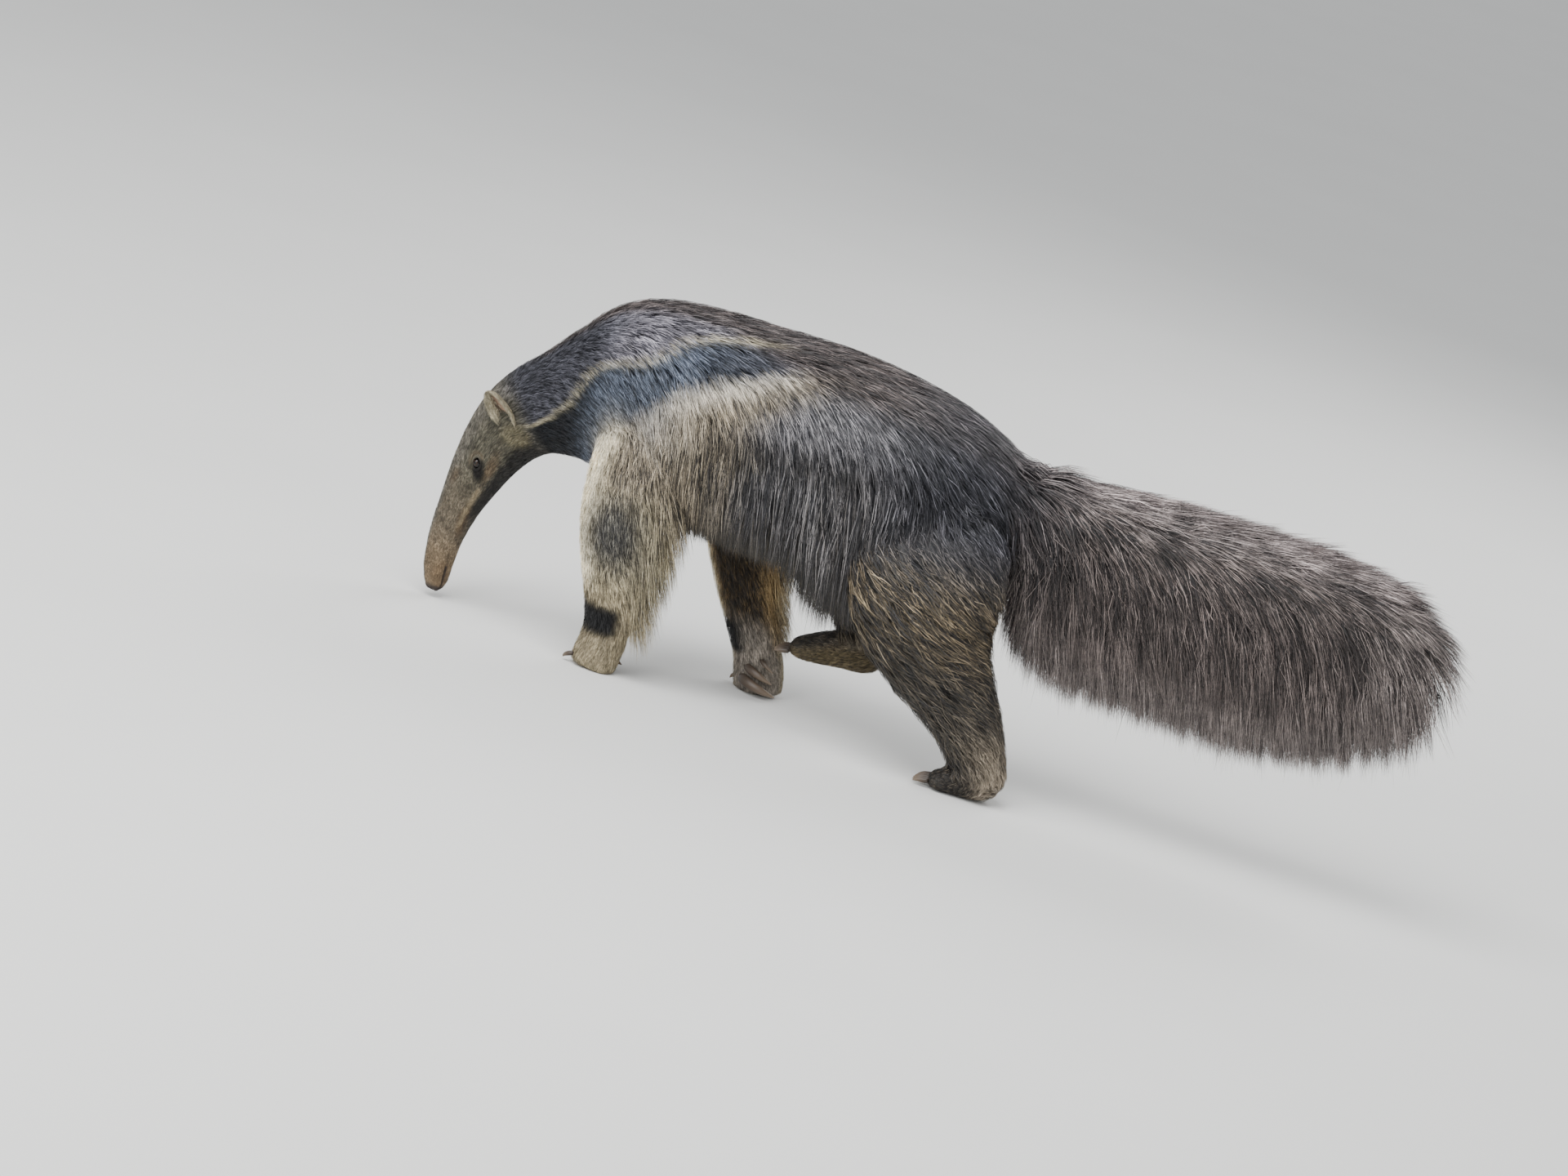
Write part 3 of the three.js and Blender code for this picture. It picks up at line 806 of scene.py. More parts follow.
class Tone(Enum):
    """Pairs of colours that hair mixes: the dark ground and the pale hairs. Some pairs carry painted shade,
    highlights or sheen.
    """

    CROWN = ((72, 68, 60), (158, 152, 138), 0.48)
    CHEEK = ((56, 54, 46), (124, 119, 102), 0.49)
    SNOUT = ((68, 61, 52), (156, 143, 121), 0.52)
    MUZZLE = ((82, 69, 54), (168, 146, 116), 0.54)
    RUST = ((78, 63, 47), (146, 122, 92), 0.5)
    NOSE = ((40, 34, 31), (72, 61, 54), 0.35)
    JAW = ((28, 27, 28), (62, 58, 54), 0.3)
    LIP_EDGE_AND_HIGHLIGHT = ((118, 104, 82), (176, 160, 128), 0.65)
    EYE_SHADOW = ((20, 18, 17), (44, 39, 35), 0.25)
    BROW = ((90, 80, 66), (152, 138, 114), 0.62)
    EAR_BASE = ((92, 86, 66), (160, 150, 118), 0.55)
    EAR_BACK = ((116, 108, 88), (196, 186, 160), 0.6)
    EAR_PLATE = ((168, 138, 116), (186, 158, 134), 0.5)
    CREST = ((36, 32, 33), (134, 120, 114), 0.32)
    NECK = ((36, 37, 43), (108, 108, 118), 0.44)
    BACK = ((54, 53, 62), (176, 172, 182), 0.47)
    BAND_AND_SHEEN = ((34, 39, 49), (118, 128, 146), 0.46)
    THROAT = ((14, 15, 19), (42, 46, 52), 0.3)
    STRIPE = ((136, 128, 104), (212, 202, 172), 0.78)
    EDGE = ((116, 108, 96), (240, 232, 217), 0.76)
    GRIZZLE = ((44, 40, 37), (180, 166, 142), 0.45)
    FLANK = ((36, 37, 43), (166, 163, 166), 0.42)
    HEM = ((18, 17, 17), (88, 80, 67), 0.23)
    RUMP = ((24, 25, 31), (108, 107, 115), 0.27)
    CREAM = ((150, 136, 106), (252, 242, 214), 0.85)
    FRINGE = ((72, 66, 54), (196, 184, 152), 0.54)
    PATCH = ((26, 27, 31), (124, 122, 116), 0.34)
    WRIST = ((9, 9, 11), (34, 34, 36), 0.15)
    PAW = ((104, 94, 72), (176, 163, 134), 0.58)
    INNER = ((32, 26, 19), (108, 88, 58), 0.3)
    GOLD = ((96, 78, 48), (176, 148, 104), 0.55)
    HAND = ((88, 82, 74), (156, 146, 134), 0.58)
    THIGH = ((25, 24, 26), (176, 156, 122), 0.24)
    SHANK = ((26, 25, 26), (116, 106, 92), 0.28)
    HEEL = ((88, 78, 64), (178, 164, 144), 0.56)
    OLIVE = ((50, 43, 30), (122, 108, 78), 0.48)
    PLUME = ((35, 31, 32), (164, 152, 147), 0.41)
    SHADE = ((24, 21, 22), (136, 123, 118), 0.34)
    RIDGE_HIGHLIGHT = ((46, 38, 40), (196, 182, 179), 0.45)

    def colours(self) -> tuple:
        """The dark colour, the pale colour and the share of pale hair."""
        dark, pale, amount = self.value
        return paint(*dark), paint(*pale), amount


def eye_place(p: np.ndarray) -> tuple[np.ndarray, np.ndarray, np.ndarray]:
    """Works out where places lie round the eye.

    Args:
        p: places in mm, as rows of x, y, z.

    Returns:
        Mm forward and up its slanted opening, and out to the side from its middle.
    """
    away = p - [EYE_AT[0], 0, EYE_AT[2]]
    u = away[:, 0] * 0.98 + away[:, 2] * 0.17
    v = away[:, 2] * 0.98 - away[:, 0] * 0.17
    return u, v, np.abs(away[:, 1]) + EYE_AT[1]


def eye_ring(p: np.ndarray) -> np.ndarray:
    """Works out how far places lie from the eye's middle.

    Args:
        p: places in mm, as rows of x, y, z.

    Returns:
        1 at the edge of its almond opening, less inside.
    """
    u, v, out = eye_place(p)
    ring = np.hypot(v / LID_HALF[0], u / LID_HALF[1])
    return np.where(out > -14, ring, 99)


@dataclass
class Markings:
    """The coat's markings, with some painted shade, highlights and sheen, as functions of place, the same
    for skin and hair.
    """

    # The band's upper and lower edges, as x and z.
    upper: tuple = (
        (-482, 320), (-456, 329), (-427, 356), (-399, 393), (-382, 441), (-360, 466), (-323, 481),
        (-292, 494), (-246, 536), (-209, 553), (-135, 566), (-103, 571), (8, 590),
    )
    lower: tuple = (
        (-352, 290), (-343, 312), (-304, 370), (-273, 417), (-225, 468), (-173, 498), (-121, 518),
        (-78, 537), (-37, 554), (6, 561), (40, 560),
    )
    # Where x passes from neck to back, from throat to shoulder, and from flank to rump.
    nape: tuple = (-420, -330)
    throat: tuple = (-352, -338)
    rump: tuple = (40, 220)

    @staticmethod
    def layer(under: list, over: Tone, share: np.ndarray) -> list:
        """Lays one tone over another.

        Args:
            under: the tone below.
            over: the tone on top.
            share: how much of it shows.

        Returns:
            Dark colour, pale colour and share of pale hair, a row for each place.
        """
        dark, pale, amount = over.colours()
        mixed = under[2] * (1 - share) + amount * share
        return [mix(under[0], dark, share), mix(under[1], pale, share), mixed]

    @staticmethod
    def ground(tone: Tone, count: int) -> list:
        """The same tone everywhere."""
        dark, pale, amount = tone.colours()
        return [np.tile(dark, (count, 1)), np.tile(pale, (count, 1)), np.full(count, amount)]

    @staticmethod
    def under_line(line: tuple, x: np.ndarray, z: np.ndarray) -> np.ndarray:
        """Works out how far places lie below a line.

        Args:
            line: points of x and z.
            x: where places lie along the body, in mm.
            z: how high they lie, in mm.

        Returns:
            Mm square to the line, more further down.
        """
        xs, zs = np.array(line, float).T
        slope = np.interp(x, (xs[1:] + xs[:-1]) / 2, np.diff(zs) / np.diff(xs))
        return (np.interp(x, xs, zs) - z) / np.hypot(1, slope)

    def trunk(self, spots: Spots) -> list:
        """Markings of the head, neck and torso.

        Args:
            spots: the places.

        Returns:
            Dark colour, pale colour and share of pale hair, a row for each place.
        """
        x, z, t, turn = spots.p[:, 0], spots.p[:, 2], spots.t, spots.turn
        behind_nape, at_rump = ease(x, *self.nape), ease(x, *self.rump)
        tone = self.ground(Tone.FLANK, len(x))
        tone = self.layer(tone, Tone.HEM, ease(turn, 88, 112) * ease(t, 0.5, 0.6))
        tone = self.layer(tone, Tone.RUMP, at_rump)
        # The zone under the band: pale at its edge, grizzled further down.
        below = self.under_line(self.lower, x, z)
        wide = np.interp(x, (-300, -150, -60, 30), (240, 150, 70, 24))
        pale = ease(below, -3, 4) * (1 - ease(x, 10, 60)) * ease(x, -356, -338)
        tone = self.layer(tone, Tone.GRIZZLE, pale * (1 - ease(below, 0.3 * wide, wide)))
        tone = self.layer(tone, Tone.EDGE, pale * (1 - ease(below, 0.05 * wide, 0.24 * wide)) * 0.9)
        # The band: dark hair with a painted blue-grey sheen on the shoulder, near black at the throat.
        front = ease(t, 0.415, 0.44)
        band = ease(-below, -3, 4) * (1 - ease(x, 0, 70)) * front
        tone = self.layer(tone, Tone.BAND_AND_SHEEN, np.maximum(band, front * (1 - ease(x, *self.throat))))
        tone = self.layer(tone, Tone.RUMP, band * ease(x, -240, -110) * 0.65)
        tone = self.layer(tone, Tone.THROAT, front * (1 - ease(x, -400, -345)))
        # The grey back and neck above it, the back's grey partly its own colour and partly a painted sheen;
        # the dark line of the spine, and the thin pale stripe.
        over = -self.under_line(self.upper, x, z)
        above = np.where(x > -103, ease(-below, 14, 34), ease(over, -1, 3)) * ease(t, 0.4, 0.45)
        tone = self.layer(tone, Tone.BACK, above * behind_nape * (1 - 0.7 * at_rump))
        tone = self.layer(tone, Tone.NECK, above * (1 - behind_nape))
        places = (-450, -200, 0)
        spine = 1 - ease(turn, np.interp(x, places, (8, 14, 40)), np.interp(x, places, (20, 30, 66)))
        fading = 0.9 - 0.6 * ease(x, 60, 220)
        tone = self.layer(tone, Tone.CREST, spine * ease(t, 0.44, 0.52) * fading)
        stripe = (1 - ease(np.abs(over), 1.2, 3.8)) * ease(x, -484, -470) * (1 - ease(x, -150, -80))
        tone = self.layer(tone, Tone.STRIPE, stripe * ease(turn, 12, 20))
        return self.head(tone, spots)

    def head(self, tone: list, spots: Spots) -> list:
        """Markings of the head, laid over those of the trunk.

        Args:
            tone: the markings below.
            spots: the places.

        Returns:
            Dark colour, pale colour and share of pale hair, a row for each place.
        """
        x, y, z = spots.p.T
        t, turn = spots.t, spots.turn
        on_head = 1 - ease(t, 0.4, 0.45)
        tone = self.layer(tone, Tone.CROWN, on_head)
        tone = self.layer(tone, Tone.CHEEK, on_head * ease(turn, 36, 72))
        tone = self.layer(tone, Tone.SNOUT, (1 - ease(t, 0.2, 0.32)) * ease(turn, 14, 50))
        tone = self.layer(tone, Tone.MUZZLE, (1 - ease(t, 0.1, 0.2)) * ease(turn, 6, 40))
        patchy = np.sin(x / 9 + y / 7) + np.sin(z / 13 + y / 11) + np.sin((x + z) / 21)
        warm = ease(patchy, 0.2, 1.6) * (1 - ease(t, 0.3, 0.38)) * ease(turn, 20, 60)
        tone = self.layer(tone, Tone.RUST, warm * 0.75)
        # The dark jaw, with a pale edge along it that is partly pale hair and partly a painted highlight,
        # and the dark nose and mouth.
        rear = np.interp(t, (0.1, 0.2, 0.34, 0.42), (150, 128, 122, 104))
        jaw = on_head * ease(turn, rear - 4, rear + 12) * ease(t, 0.15, 0.24)
        tone = self.layer(tone, Tone.JAW, jaw * 0.92)
        line = np.abs(turn - rear + 8) + 40 * (1 - ease(t, 0.15, 0.2)) + 40 * ease(t, 0.26, 0.32)
        tone = self.layer(tone, Tone.LIP_EDGE_AND_HIGHLIGHT, (1 - ease(line, 3, 9)) * 0.85)
        tone = self.layer(tone, Tone.NOSE, 1 - ease(t, 0.022, 0.05))
        mouth = np.abs(turn - MOUTH_TURN) + 40 * ease(t, 0.1, 0.12)
        tone = self.layer(tone, Tone.NOSE, 1 - ease(mouth, 3, 9))
        u, v, out = eye_place(spots.p)
        side = ease(out, -16, -8)
        # Painted shadow round the eye, reaching furthest down and back.
        shadow = 1 - ease(np.hypot((u - 4) / 10, (v + 10) / 22), 0.55, 1.25)
        tone = self.layer(tone, Tone.EYE_SHADOW, shadow * side)
        brow = bump_of(eye_ring(spots.p) - 2.1, 0.5) * ease(v - 0.5 * u, -1, 5)
        tone = self.layer(tone, Tone.BROW, brow * side * 0.8)
        ear = 1 - ease(np.hypot((x + 476) / 26, (z - 304) / 20), 0.5, 1.3)
        return self.layer(tone, Tone.EAR_BASE, ear * ease(turn, 30, 50) * 0.75)

    def foreleg(self, spots: Spots) -> list:
        """Markings of a foreleg: cream in front, a dark patch outside, brown inside with golden edges.

        Args:
            spots: the places.

        Returns:
            Dark colour, pale colour and share of pale hair, a row for each place.
        """
        z, outer, rear = spots.p[:, 2], spots.outer, spots.rear
        tone = self.ground(Tone.CREAM, len(z))
        tone = self.layer(tone, Tone.FRINGE, ease(rear, -0.9, -0.3))
        tone = self.layer(tone, Tone.GRIZZLE, ease(z, 250, 320) * ease(rear, -0.9, -0.2))
        inside = ease(-outer, 0.1, 0.7)
        tone = self.layer(tone, Tone.GOLD, inside)
        tone = self.layer(tone, Tone.INNER, inside * (1 - ease(np.abs(rear + 0.1), 0.45, 0.9)))
        tone = self.layer(tone, Tone.HAND, inside * (1 - ease(z, 90, 135)))
        spot = np.hypot((spots.behind + 4) / 62, (z - 222) / 78)
        tone = self.layer(tone, Tone.PATCH, (1 - ease(spot, 0.25, 1.15)) * ease(outer, 0.0, 0.5) * 0.9)
        return self.layer(tone, Tone.PAW, (1 - ease(z, 110, 160)) * ease(outer, -0.2, 0.4))

    def wrist(self, tone: list, spots: Spots) -> list:
        """The black band over the wrist, laid over the leg and foot: open behind and inside.

        Args:
            tone: the markings below.
            spots: the places.

        Returns:
            Dark colour, pale colour and share of pale hair, a row for each place.
        """
        z, low = spots.p[:, 2], 58 + 10 * ease(spots.behind, -5, 40)
        band = ease(z, low - 5, low + 5) * (1 - ease(z, 100, 112))
        band = band * (1 - 0.9 * ease(spots.rear, 0.25, 0.7))
        band = band * (1 - ease(-spots.outer, 0.1, 0.5) * ease(spots.rear, -0.7, -0.2))
        return self.layer(tone, Tone.WRIST, band)

    def hindleg(self, spots: Spots) -> list:
        """Markings of a hind leg: dark brown with golden tips, browner heel.

        Args:
            spots: the places.

        Returns:
            Dark colour, pale colour and share of pale hair, a row for each place.
        """
        z = spots.p[:, 2]
        tone = self.ground(Tone.THIGH, len(z))
        tone = self.layer(tone, Tone.RUMP, ease(z, 260, 400))
        tone = self.layer(tone, Tone.SHANK, 1 - ease(z, 150, 290))
        heel = (1 - ease(z, 70, 130)) * ease(spots.rear, -0.5, 0.4)
        return self.layer(tone, Tone.HEEL, heel * 0.85)

    def tail(self, spots: Spots) -> list:
        """Markings of the tail, with painted shade half way down its plume and a painted highlight along its
        ridge.

        Args:
            spots: the places.

        Returns:
            Dark colour, pale colour and share of pale hair, a row for each place.
        """
        x, turn = spots.p[:, 0], spots.turn
        # Painted shade half way down the plume, and a painted highlight along its ridge.
        shade = ease(turn, 20, 50) * (1 - ease(turn, 84, 116)) * (1 - ease(x, 800, 940))
        tone = self.layer(self.ground(Tone.PLUME, len(x)), Tone.SHADE, shade)
        return self.layer(tone, Tone.RIDGE_HIGHLIGHT, (1 - ease(turn, 14, 44)) * (1 - 0.8 * ease(x, 780, 930)))

    def forefoot(self, spots: Spots) -> list:
        """Markings of a forefoot: pale outside, greyer inside."""
        tone = self.ground(Tone.PAW, len(spots.p))
        return self.layer(tone, Tone.HAND, ease(-spots.outer, 0, 0.5))

    def hindfoot(self, spots: Spots) -> list:
        """Markings of a hind foot: pale heel, and olive brown under the lifted one.

        Args:
            spots: the places.

        Returns:
            Dark colour, pale colour and share of pale hair, a row for each place.
        """
        tone = self.ground(Tone.SHANK, len(spots.p))
        tone = self.layer(tone, Tone.HEEL, (1 - ease(spots.t, 0.25, 0.6)) * 0.85)
        lifted = spots.name.endswith("right")
        return self.layer(tone, Tone.OLIVE, ease(spots.rear, -0.6, 0.1)) if lifted else tone

    def at(self, spots: Spots) -> list:
        """The markings on one form.

        Args:
            spots: the places.

        Returns:
            Dark colour, pale colour and share of pale hair, a row for each place.
        """
        kind = spots.name.partition("_")[0]
        kinds = {
            "trunk": self.trunk, "tail": self.tail, "foreleg": self.foreleg, "forefoot": self.forefoot,
            "hindleg": self.hindleg, "hindfoot": self.hindfoot,
        }
        tone = kinds[kind](spots)
        return self.wrist(tone, spots) if kind.startswith("fore") else tone


@dataclass
class Fields:
    """What a hairy surface knows at each of its vertices."""

    place: np.ndarray
    normal: np.ndarray
    part: np.ndarray
    t: np.ndarray
    angle: np.ndarray
    chord: np.ndarray
    lift: np.ndarray
    cling: np.ndarray
    width: np.ndarray
    dark: np.ndarray
    pale: np.ndarray
    amount: np.ndarray
    cover: np.ndarray


@dataclass
class Pelt:
    """A surface that hair grows from: its fields, its faces and the names of its parts."""

    mesh: bpy.types.Mesh
    fields: Fields
    names: list

    def __post_init__(self) -> None:
        """Reads the faces once for all regions."""
        self.mesh.calc_loop_triangles()
        corners = np.empty(len(self.mesh.loop_triangles) * 3, np.int32)
        self.mesh.loop_triangles.foreach_get("vertices", corners)
        self.corners = corners.reshape(-1, 3)
        a, b, c = (self.fields.place[self.corners[:, k]] for k in range(3))
        self.areas = np.linalg.norm(np.cross(b - a, c - a), axis=1) / 2
        self.tree = BVHTree.FromPolygons(self.fields.place.tolist(), self.corners.tolist())

    def settle(self, places: np.ndarray, height: np.ndarray, cling: np.ndarray) -> tuple:
        """Brings places to their heights over the surface.

        Args:
            places: rows of x, y, z in mm.
            height: the height of each over the surface.
            cling: 1 brings a place to its height, 0 only lifts one that is too low.

        Returns:
            The moved places, and the face under each.
        """
        found = [self.tree.find_nearest(place)[:3] for place in places]
        foot = np.array([place for place, _, _ in found])
        out = np.array([normal for _, normal, _ in found])
        level = ((places - foot) * out).sum(1)
        goal = mix(np.maximum(level, height * 0.6), height, cling)
        return places + out * (goal - level)[:, None], np.array([face for _, _, face in found])

    def tone(self, faces: np.ndarray) -> list:
        """Dark colour, pale colour and share of pale hair of the given faces."""
        f, corners = self.fields, self.corners[faces]
        return [values[corners].mean(1) for values in (f.dark, f.pale, f.amount)]


@dataclass
class Lie:
    """The way the hair lies on each form: the chord from root to tip, in mm."""

    # Degrees round the section at the root of a hair and at its tip, and mm from root to tip along x.
    tail_turns: tuple = ((0, 16, 72, 116, 152, 180), (0, 12, 112, 148, 172, 180))
    tail_sweeps: tuple = (112, 112, 66, 56, 50, 48)
    tail_bulges: tuple = ((0, 16, 72, 116, 180), (6, 10, 20, 12, 2))
    skirt_turns: tuple = ((78, 92, 120, 150, 180), (116, 134, 160, 172, 180))
    skirt_sweep: float = 20.0
    skirt_lift: float = 14.0
    # The longest hair behind each foreleg, and the way it hangs.
    fringe: dict = field(default_factory=lambda: {"foreleg_left": 116, "foreleg_right": 88})
    fringe_way: tuple = (0.5, 0, -0.86)
    # Degrees that the hair of a hind leg dips, by shares of its line.
    thigh_dips: tuple = ((0, 0.15, 0.4, 0.6, 0.85, 1), (52, 32, 20, 32, 58, 76))

    @staticmethod
    def share_at(form: Sweep, x: np.ndarray) -> np.ndarray:
        """The share of an upright form's line at the given x."""
        grid = np.linspace(0, 1, SHARE_STEPS)
        return np.interp(x, form.values(grid)[:, 0], grid)

    def to_outline(
        self, spots: Spots, form: Sweep, turns: tuple, sweep: np.ndarray | float,
    ) -> np.ndarray:
        """Chords from roots to the outline that tips reach.

        Args:
            spots: the roots.
            form: the outline.
            turns: degrees at roots, and at the tips that they lead to.
            sweep: mm from root to tip along x.

        Returns:
            The chords.
        """
        aim = np.sign(spots.angle) * np.interp(spots.turn, *turns) * DEGREE
        return form.point(self.share_at(form, spots.p[:, 0] + sweep), aim) - spots.p

    def tail(self, spots: Spots) -> tuple:
        """Plume hair: back from the ridge and down, further back near the end.

        Args:
            spots: the places.

        Returns:
            The chord from root to tip, the lift over the skin and the cling to it.
        """
        x, turn = spots.p[:, 0], spots.turn
        sweep = np.interp(turn, self.tail_turns[0], self.tail_sweeps)
        sweep = sweep * (1 - 0.65 * (1 - ease(x, 330, 420)) * ease(turn, 50, 100))
        sweep = sweep + ease(x, 880, 985) * np.interp(turn, (0, 60, 180), (-16, 30, 22))
        chord = self.to_outline(spots, PLUME_FORM, self.tail_turns, sweep)
        return chord, np.interp(turn, *self.tail_bulges), np.zeros(len(x))

    def trunk(self, spots: Spots) -> tuple:
        """Hair of the head, neck and torso: back along the body, more and more down its sides.

        Args:
            spots: the places.

        Returns:
            The chord from root to tip, the lift over the skin and the cling to it.
        """
        t, turn = spots.t, spots.turn
        along, _, _ = FORMS["trunk"].ways(t)
        fall = TRUNK_FUR.fall(t) * np.interp(turn, (0, 20, 70, 180), (0, 0.45, 1, 1))
        way = along * (1 - fall)[:, None] + np.array([0, 0, -1.0]) * fall[:, None]
        crest = (1 - ease(turn, 8, 30)) * ease(t, 0.45, 0.56)
        length = TRUNK_FUR.length(t) * (1 + 0.5 * crest)
        chord = lay_flat(way, spots.normal) * length[:, None]
        hang = ease(turn, 76, 100) * ease(t, 0.6, 0.66) * (1 - ease(t, 0.86, 0.92))
        skirt = self.to_outline(spots, SKIRT_FORM, self.skirt_turns, self.skirt_sweep)
        chord = mix(chord, skirt, hang)
        over_thigh = ease(t, 0.8, 0.88) * bump_of(turn - 92, 26)
        lift = TRUNK_FUR.depth(t) * (1 + over_thigh) * (1 - hang) + self.skirt_lift * hang
        return chord, lift, 1 - hang

    def leg(self, spots: Spots) -> tuple:
        """Hair of a foreleg: down it, with a fringe hanging behind.

        Args:
            spots: the places.

        Returns:
            The chord from root to tip, the lift over the skin and the cling to it.
        """
        t, normal, fur = spots.t, spots.normal, fur_of(spots.name)
        along, _, _ = FORMS[spots.name].ways(t)
        chord = lay_flat(along + np.array([0.25, 0, 0]), normal) * fur.length(t)[:, None]
        hang = ease(spots.rear, 0.35, 0.95) * ease(t, 0.06, 0.2) * (1 - ease(t, 0.82, 0.95))
        reach = self.fringe[spots.name] * (1.15 - 0.5 * t)
        fringe = np.array(self.fringe_way) * reach[:, None] + normal * 8
        return mix(chord, fringe, hang), fur.depth(t) * (1 + 0.2 * hang), 1 - hang * 0.75

    def thigh(self, spots: Spots) -> tuple:
        """Hair of a hind leg: swept back over the thigh, and hanging in front of the far one.

        Args:
            spots: the places.

        Returns:
            The chord from root to tip, the lift over the skin and the cling to it.
        """
        t, fur = spots.t, fur_of(spots.name)
        dip = np.interp(t, *self.thigh_dips) * DEGREE
        aim = np.c_[np.cos(dip), np.zeros(len(t)), -np.sin(dip)]
        chord = lay_flat(aim, spots.normal, 0.75) * fur.length(t)[:, None]
        hang = ease(-spots.rear, 0.0, 0.7) * (1 - ease(t, 0.6, 0.8)) * spots.name.endswith("right")
        down = np.c_[-4 + 0 * t, 0 * t, -np.clip(spots.p[:, 2] - 166, 30, 128)]
        chord = mix(chord, down, hang)
        puff = 0.5 + (0.75 + 0.85 * np.abs(np.sin(spots.angle))) * ease(t, 0.02, 0.3)
        return chord, fur.depth(t) * puff, 0.7 - 0.6 * hang

    def at(self, spots: Spots) -> tuple:
        """The lie of the hair on one form.

        Args:
            spots: the places.

        Returns:
            The chord from root to tip, the lift over the skin and the cling to it.
        """
        kinds = {"tail": self.tail, "trunk": self.trunk, "foreleg": self.leg, "hindleg": self.thigh}
        lie = kinds.get(spots.name.partition("_")[0], self.foot)
        return lie(spots)

    def foot(self, spots: Spots) -> tuple:
        """Short hair of a foot, flat along it.

        Args:
            spots: the places.

        Returns:
            The chord from root to tip, the lift over the skin and the cling to it.
        """
        along, _, _ = FORMS[spots.name].ways(spots.t)
        chord = lay_flat(along, spots.normal) * FOOT_FUR.length(spots.t)[:, None]
        return chord, FOOT_FUR.depth(spots.t), np.ones(len(spots.t))


@dataclass
class Skin:
    """One skin over the whole animal, with the folds of its face and toes."""

    voxel: float = 6.2
    smoothing: int = 6
    face_smoothing: int = 3
    blend: float = 0.11
    # Heights of the lids' edges, hood, furrow and outer fold.
    lid: float = 1.3
    hood: float = 1.4
    fold: float = 0.9
    lip: float = 1.1
    mouth_cut: float = 2.4
    nostril: tuple = (-558.0, 5.5, 12.5)
    nostril_depth: float = 3.4
    # Where grooves part the toes, from the foot's middle, and their greatest depth.
    fore_grooves: tuple = (-16, 0, 16)
    hind_grooves: tuple = (-18, -6, 6, 18)
    fore_cut: float = 2.6
    hind_cut: float = 3.2
    markings: Markings = field(default_factory=Markings)
    lie: Lie = field(default_factory=Lie)

    def build(self) -> bpy.types.Object:
        """Makes the skin.

        Returns:
            The piece.
        """
        joined = bmesh.new()
        for name, form in FORMS.items():
            rows = 130 if name == "trunk" else 60
            mesh = form.solid(fur_of(name).depth, sides=56, rows=rows, ends=self.ends(name))
            joined.from_mesh(mesh)
            bpy.data.meshes.remove(mesh)
        self.piece = add_object("skin", to_mesh(joined, "skin"))
        self.remesh()
        self.refine()
        self.sculpt()
        self.measure()
        self.dress()
        return self.piece

    @staticmethod
    def ends(name: str) -> tuple:
        """Chooses how a form ends.

        Args:
            name: the form.

        Returns:
            The lengths of its round ends, in stations.
        """
        if "leg" in name:
            return (0.5, 0.02)
        return (0.02, 0.05) if name.startswith("forefoot") else (0.5, 0.5)

    def apply(self) -> None:
        """Applies the piece's modifiers."""
        view = bpy.context.evaluated_depsgraph_get()
        old = self.piece.data
        self.piece.data = bpy.data.meshes.new_from_object(self.piece.evaluated_get(view))
        self.piece.modifiers.clear()
        bpy.data.meshes.remove(old)

    def remesh(self) -> None:
        """Melts the forms into one surface and smooths where they meet."""
        melt = self.piece.modifiers.new("melt", "REMESH")
        melt.mode = "VOXEL"
        melt.voxel_size = self.voxel * MM
        self.soften(self.smoothing)

    def soften(self, times: int) -> None:
        """Smooths the piece and applies its modifiers.

        Args:
            times: how many passes.
        """
        modifier = self.piece.modifiers.new("soften", "SMOOTH")
        modifier.factor = 0.5
        modifier.iterations = times
        self.apply()

    def refine(self) -> None:
        """Gives the head finer faces, finest round the eyes, mouth and nostrils."""
        for level in range(2):
            mesh = bmesh.new()
            mesh.from_mesh(self.piece.data)
            places = from_frame(read_points(self.piece.data))
            away = np.abs(places - [EYE_AT[0], 0, EYE_AT[2]]) - [0, -EYE_AT[1], 0]
            near_eye = np.linalg.norm(away, axis=1) < 24
            muzzle = (places[:, 0] < -480) & (places[:, 2] < 112)
            fine = near_eye | muzzle if level else (places[:, 0] < -425)
            mesh.verts.ensure_lookup_table()
            edges = [e for e in mesh.edges if fine[e.verts[0].index] and fine[e.verts[1].index]]
            bmesh.ops.subdivide_edges(mesh, edges=edges, cuts=1, use_grid_fill=True)
            bmesh.ops.triangulate(mesh, faces=[f for f in mesh.faces if len(f.verts) > 4])
            mesh.to_mesh(self.piece.data)
            mesh.free()
        self.soften(self.face_smoothing)

    def sculpt(self) -> None:
        """Presses in and raises the details of the face and feet."""
        mesh = self.piece.data
        places = from_frame(read_points(mesh))
        normals = read_normals(mesh)
        for side in SIDES.values():
            places = self.sculpt_eye(places, side)
        places = self.sculpt_mouth(places, normals)
        places = self.sculpt_feet(places, normals)
        places[:, 2] = np.maximum(places[:, 2], SKIN_FLOOR)
        write_points(mesh, to_frame(places))

    def sculpt_eye(self, places: np.ndarray, side: int) -> np.ndarray:
        """Sinks a socket for the eye and raises lids round it.

        Args:
            places: places in mm, as rows of x, y, z.
            side: -1 left, 1 right.

        Returns:
            The moved places.
        """
        u, v, out = eye_place(places)
        ring = eye_ring(places)
        near = (np.hypot(u, v) < 34) & (places[:, 1] * side > 0) & (out > -14)
        ball = np.sqrt(np.maximum(EYE_RADIUS**2 - u**2 - v**2, 0))
        lid = np.maximum(ball + self.lid, out)
        hood = self.hood * ease(v, -3, 6)
        rim = out + (self.lid + hood) * bump_of(ring - 1.3, 0.3) - self.lid * bump_of(ring - 2.0, 0.28)
        rim = rim + self.fold * bump_of(ring - 2.6, 0.3)
        inside = np.minimum(out, EYE_RADIUS - 7.5)
        level = np.where(ring < 1, inside, np.maximum(rim, np.where(ring < 1.4, lid, rim)))
        places = places.copy()
        places[near, 1] = ((level - EYE_AT[1]) * side)[near]
        return places

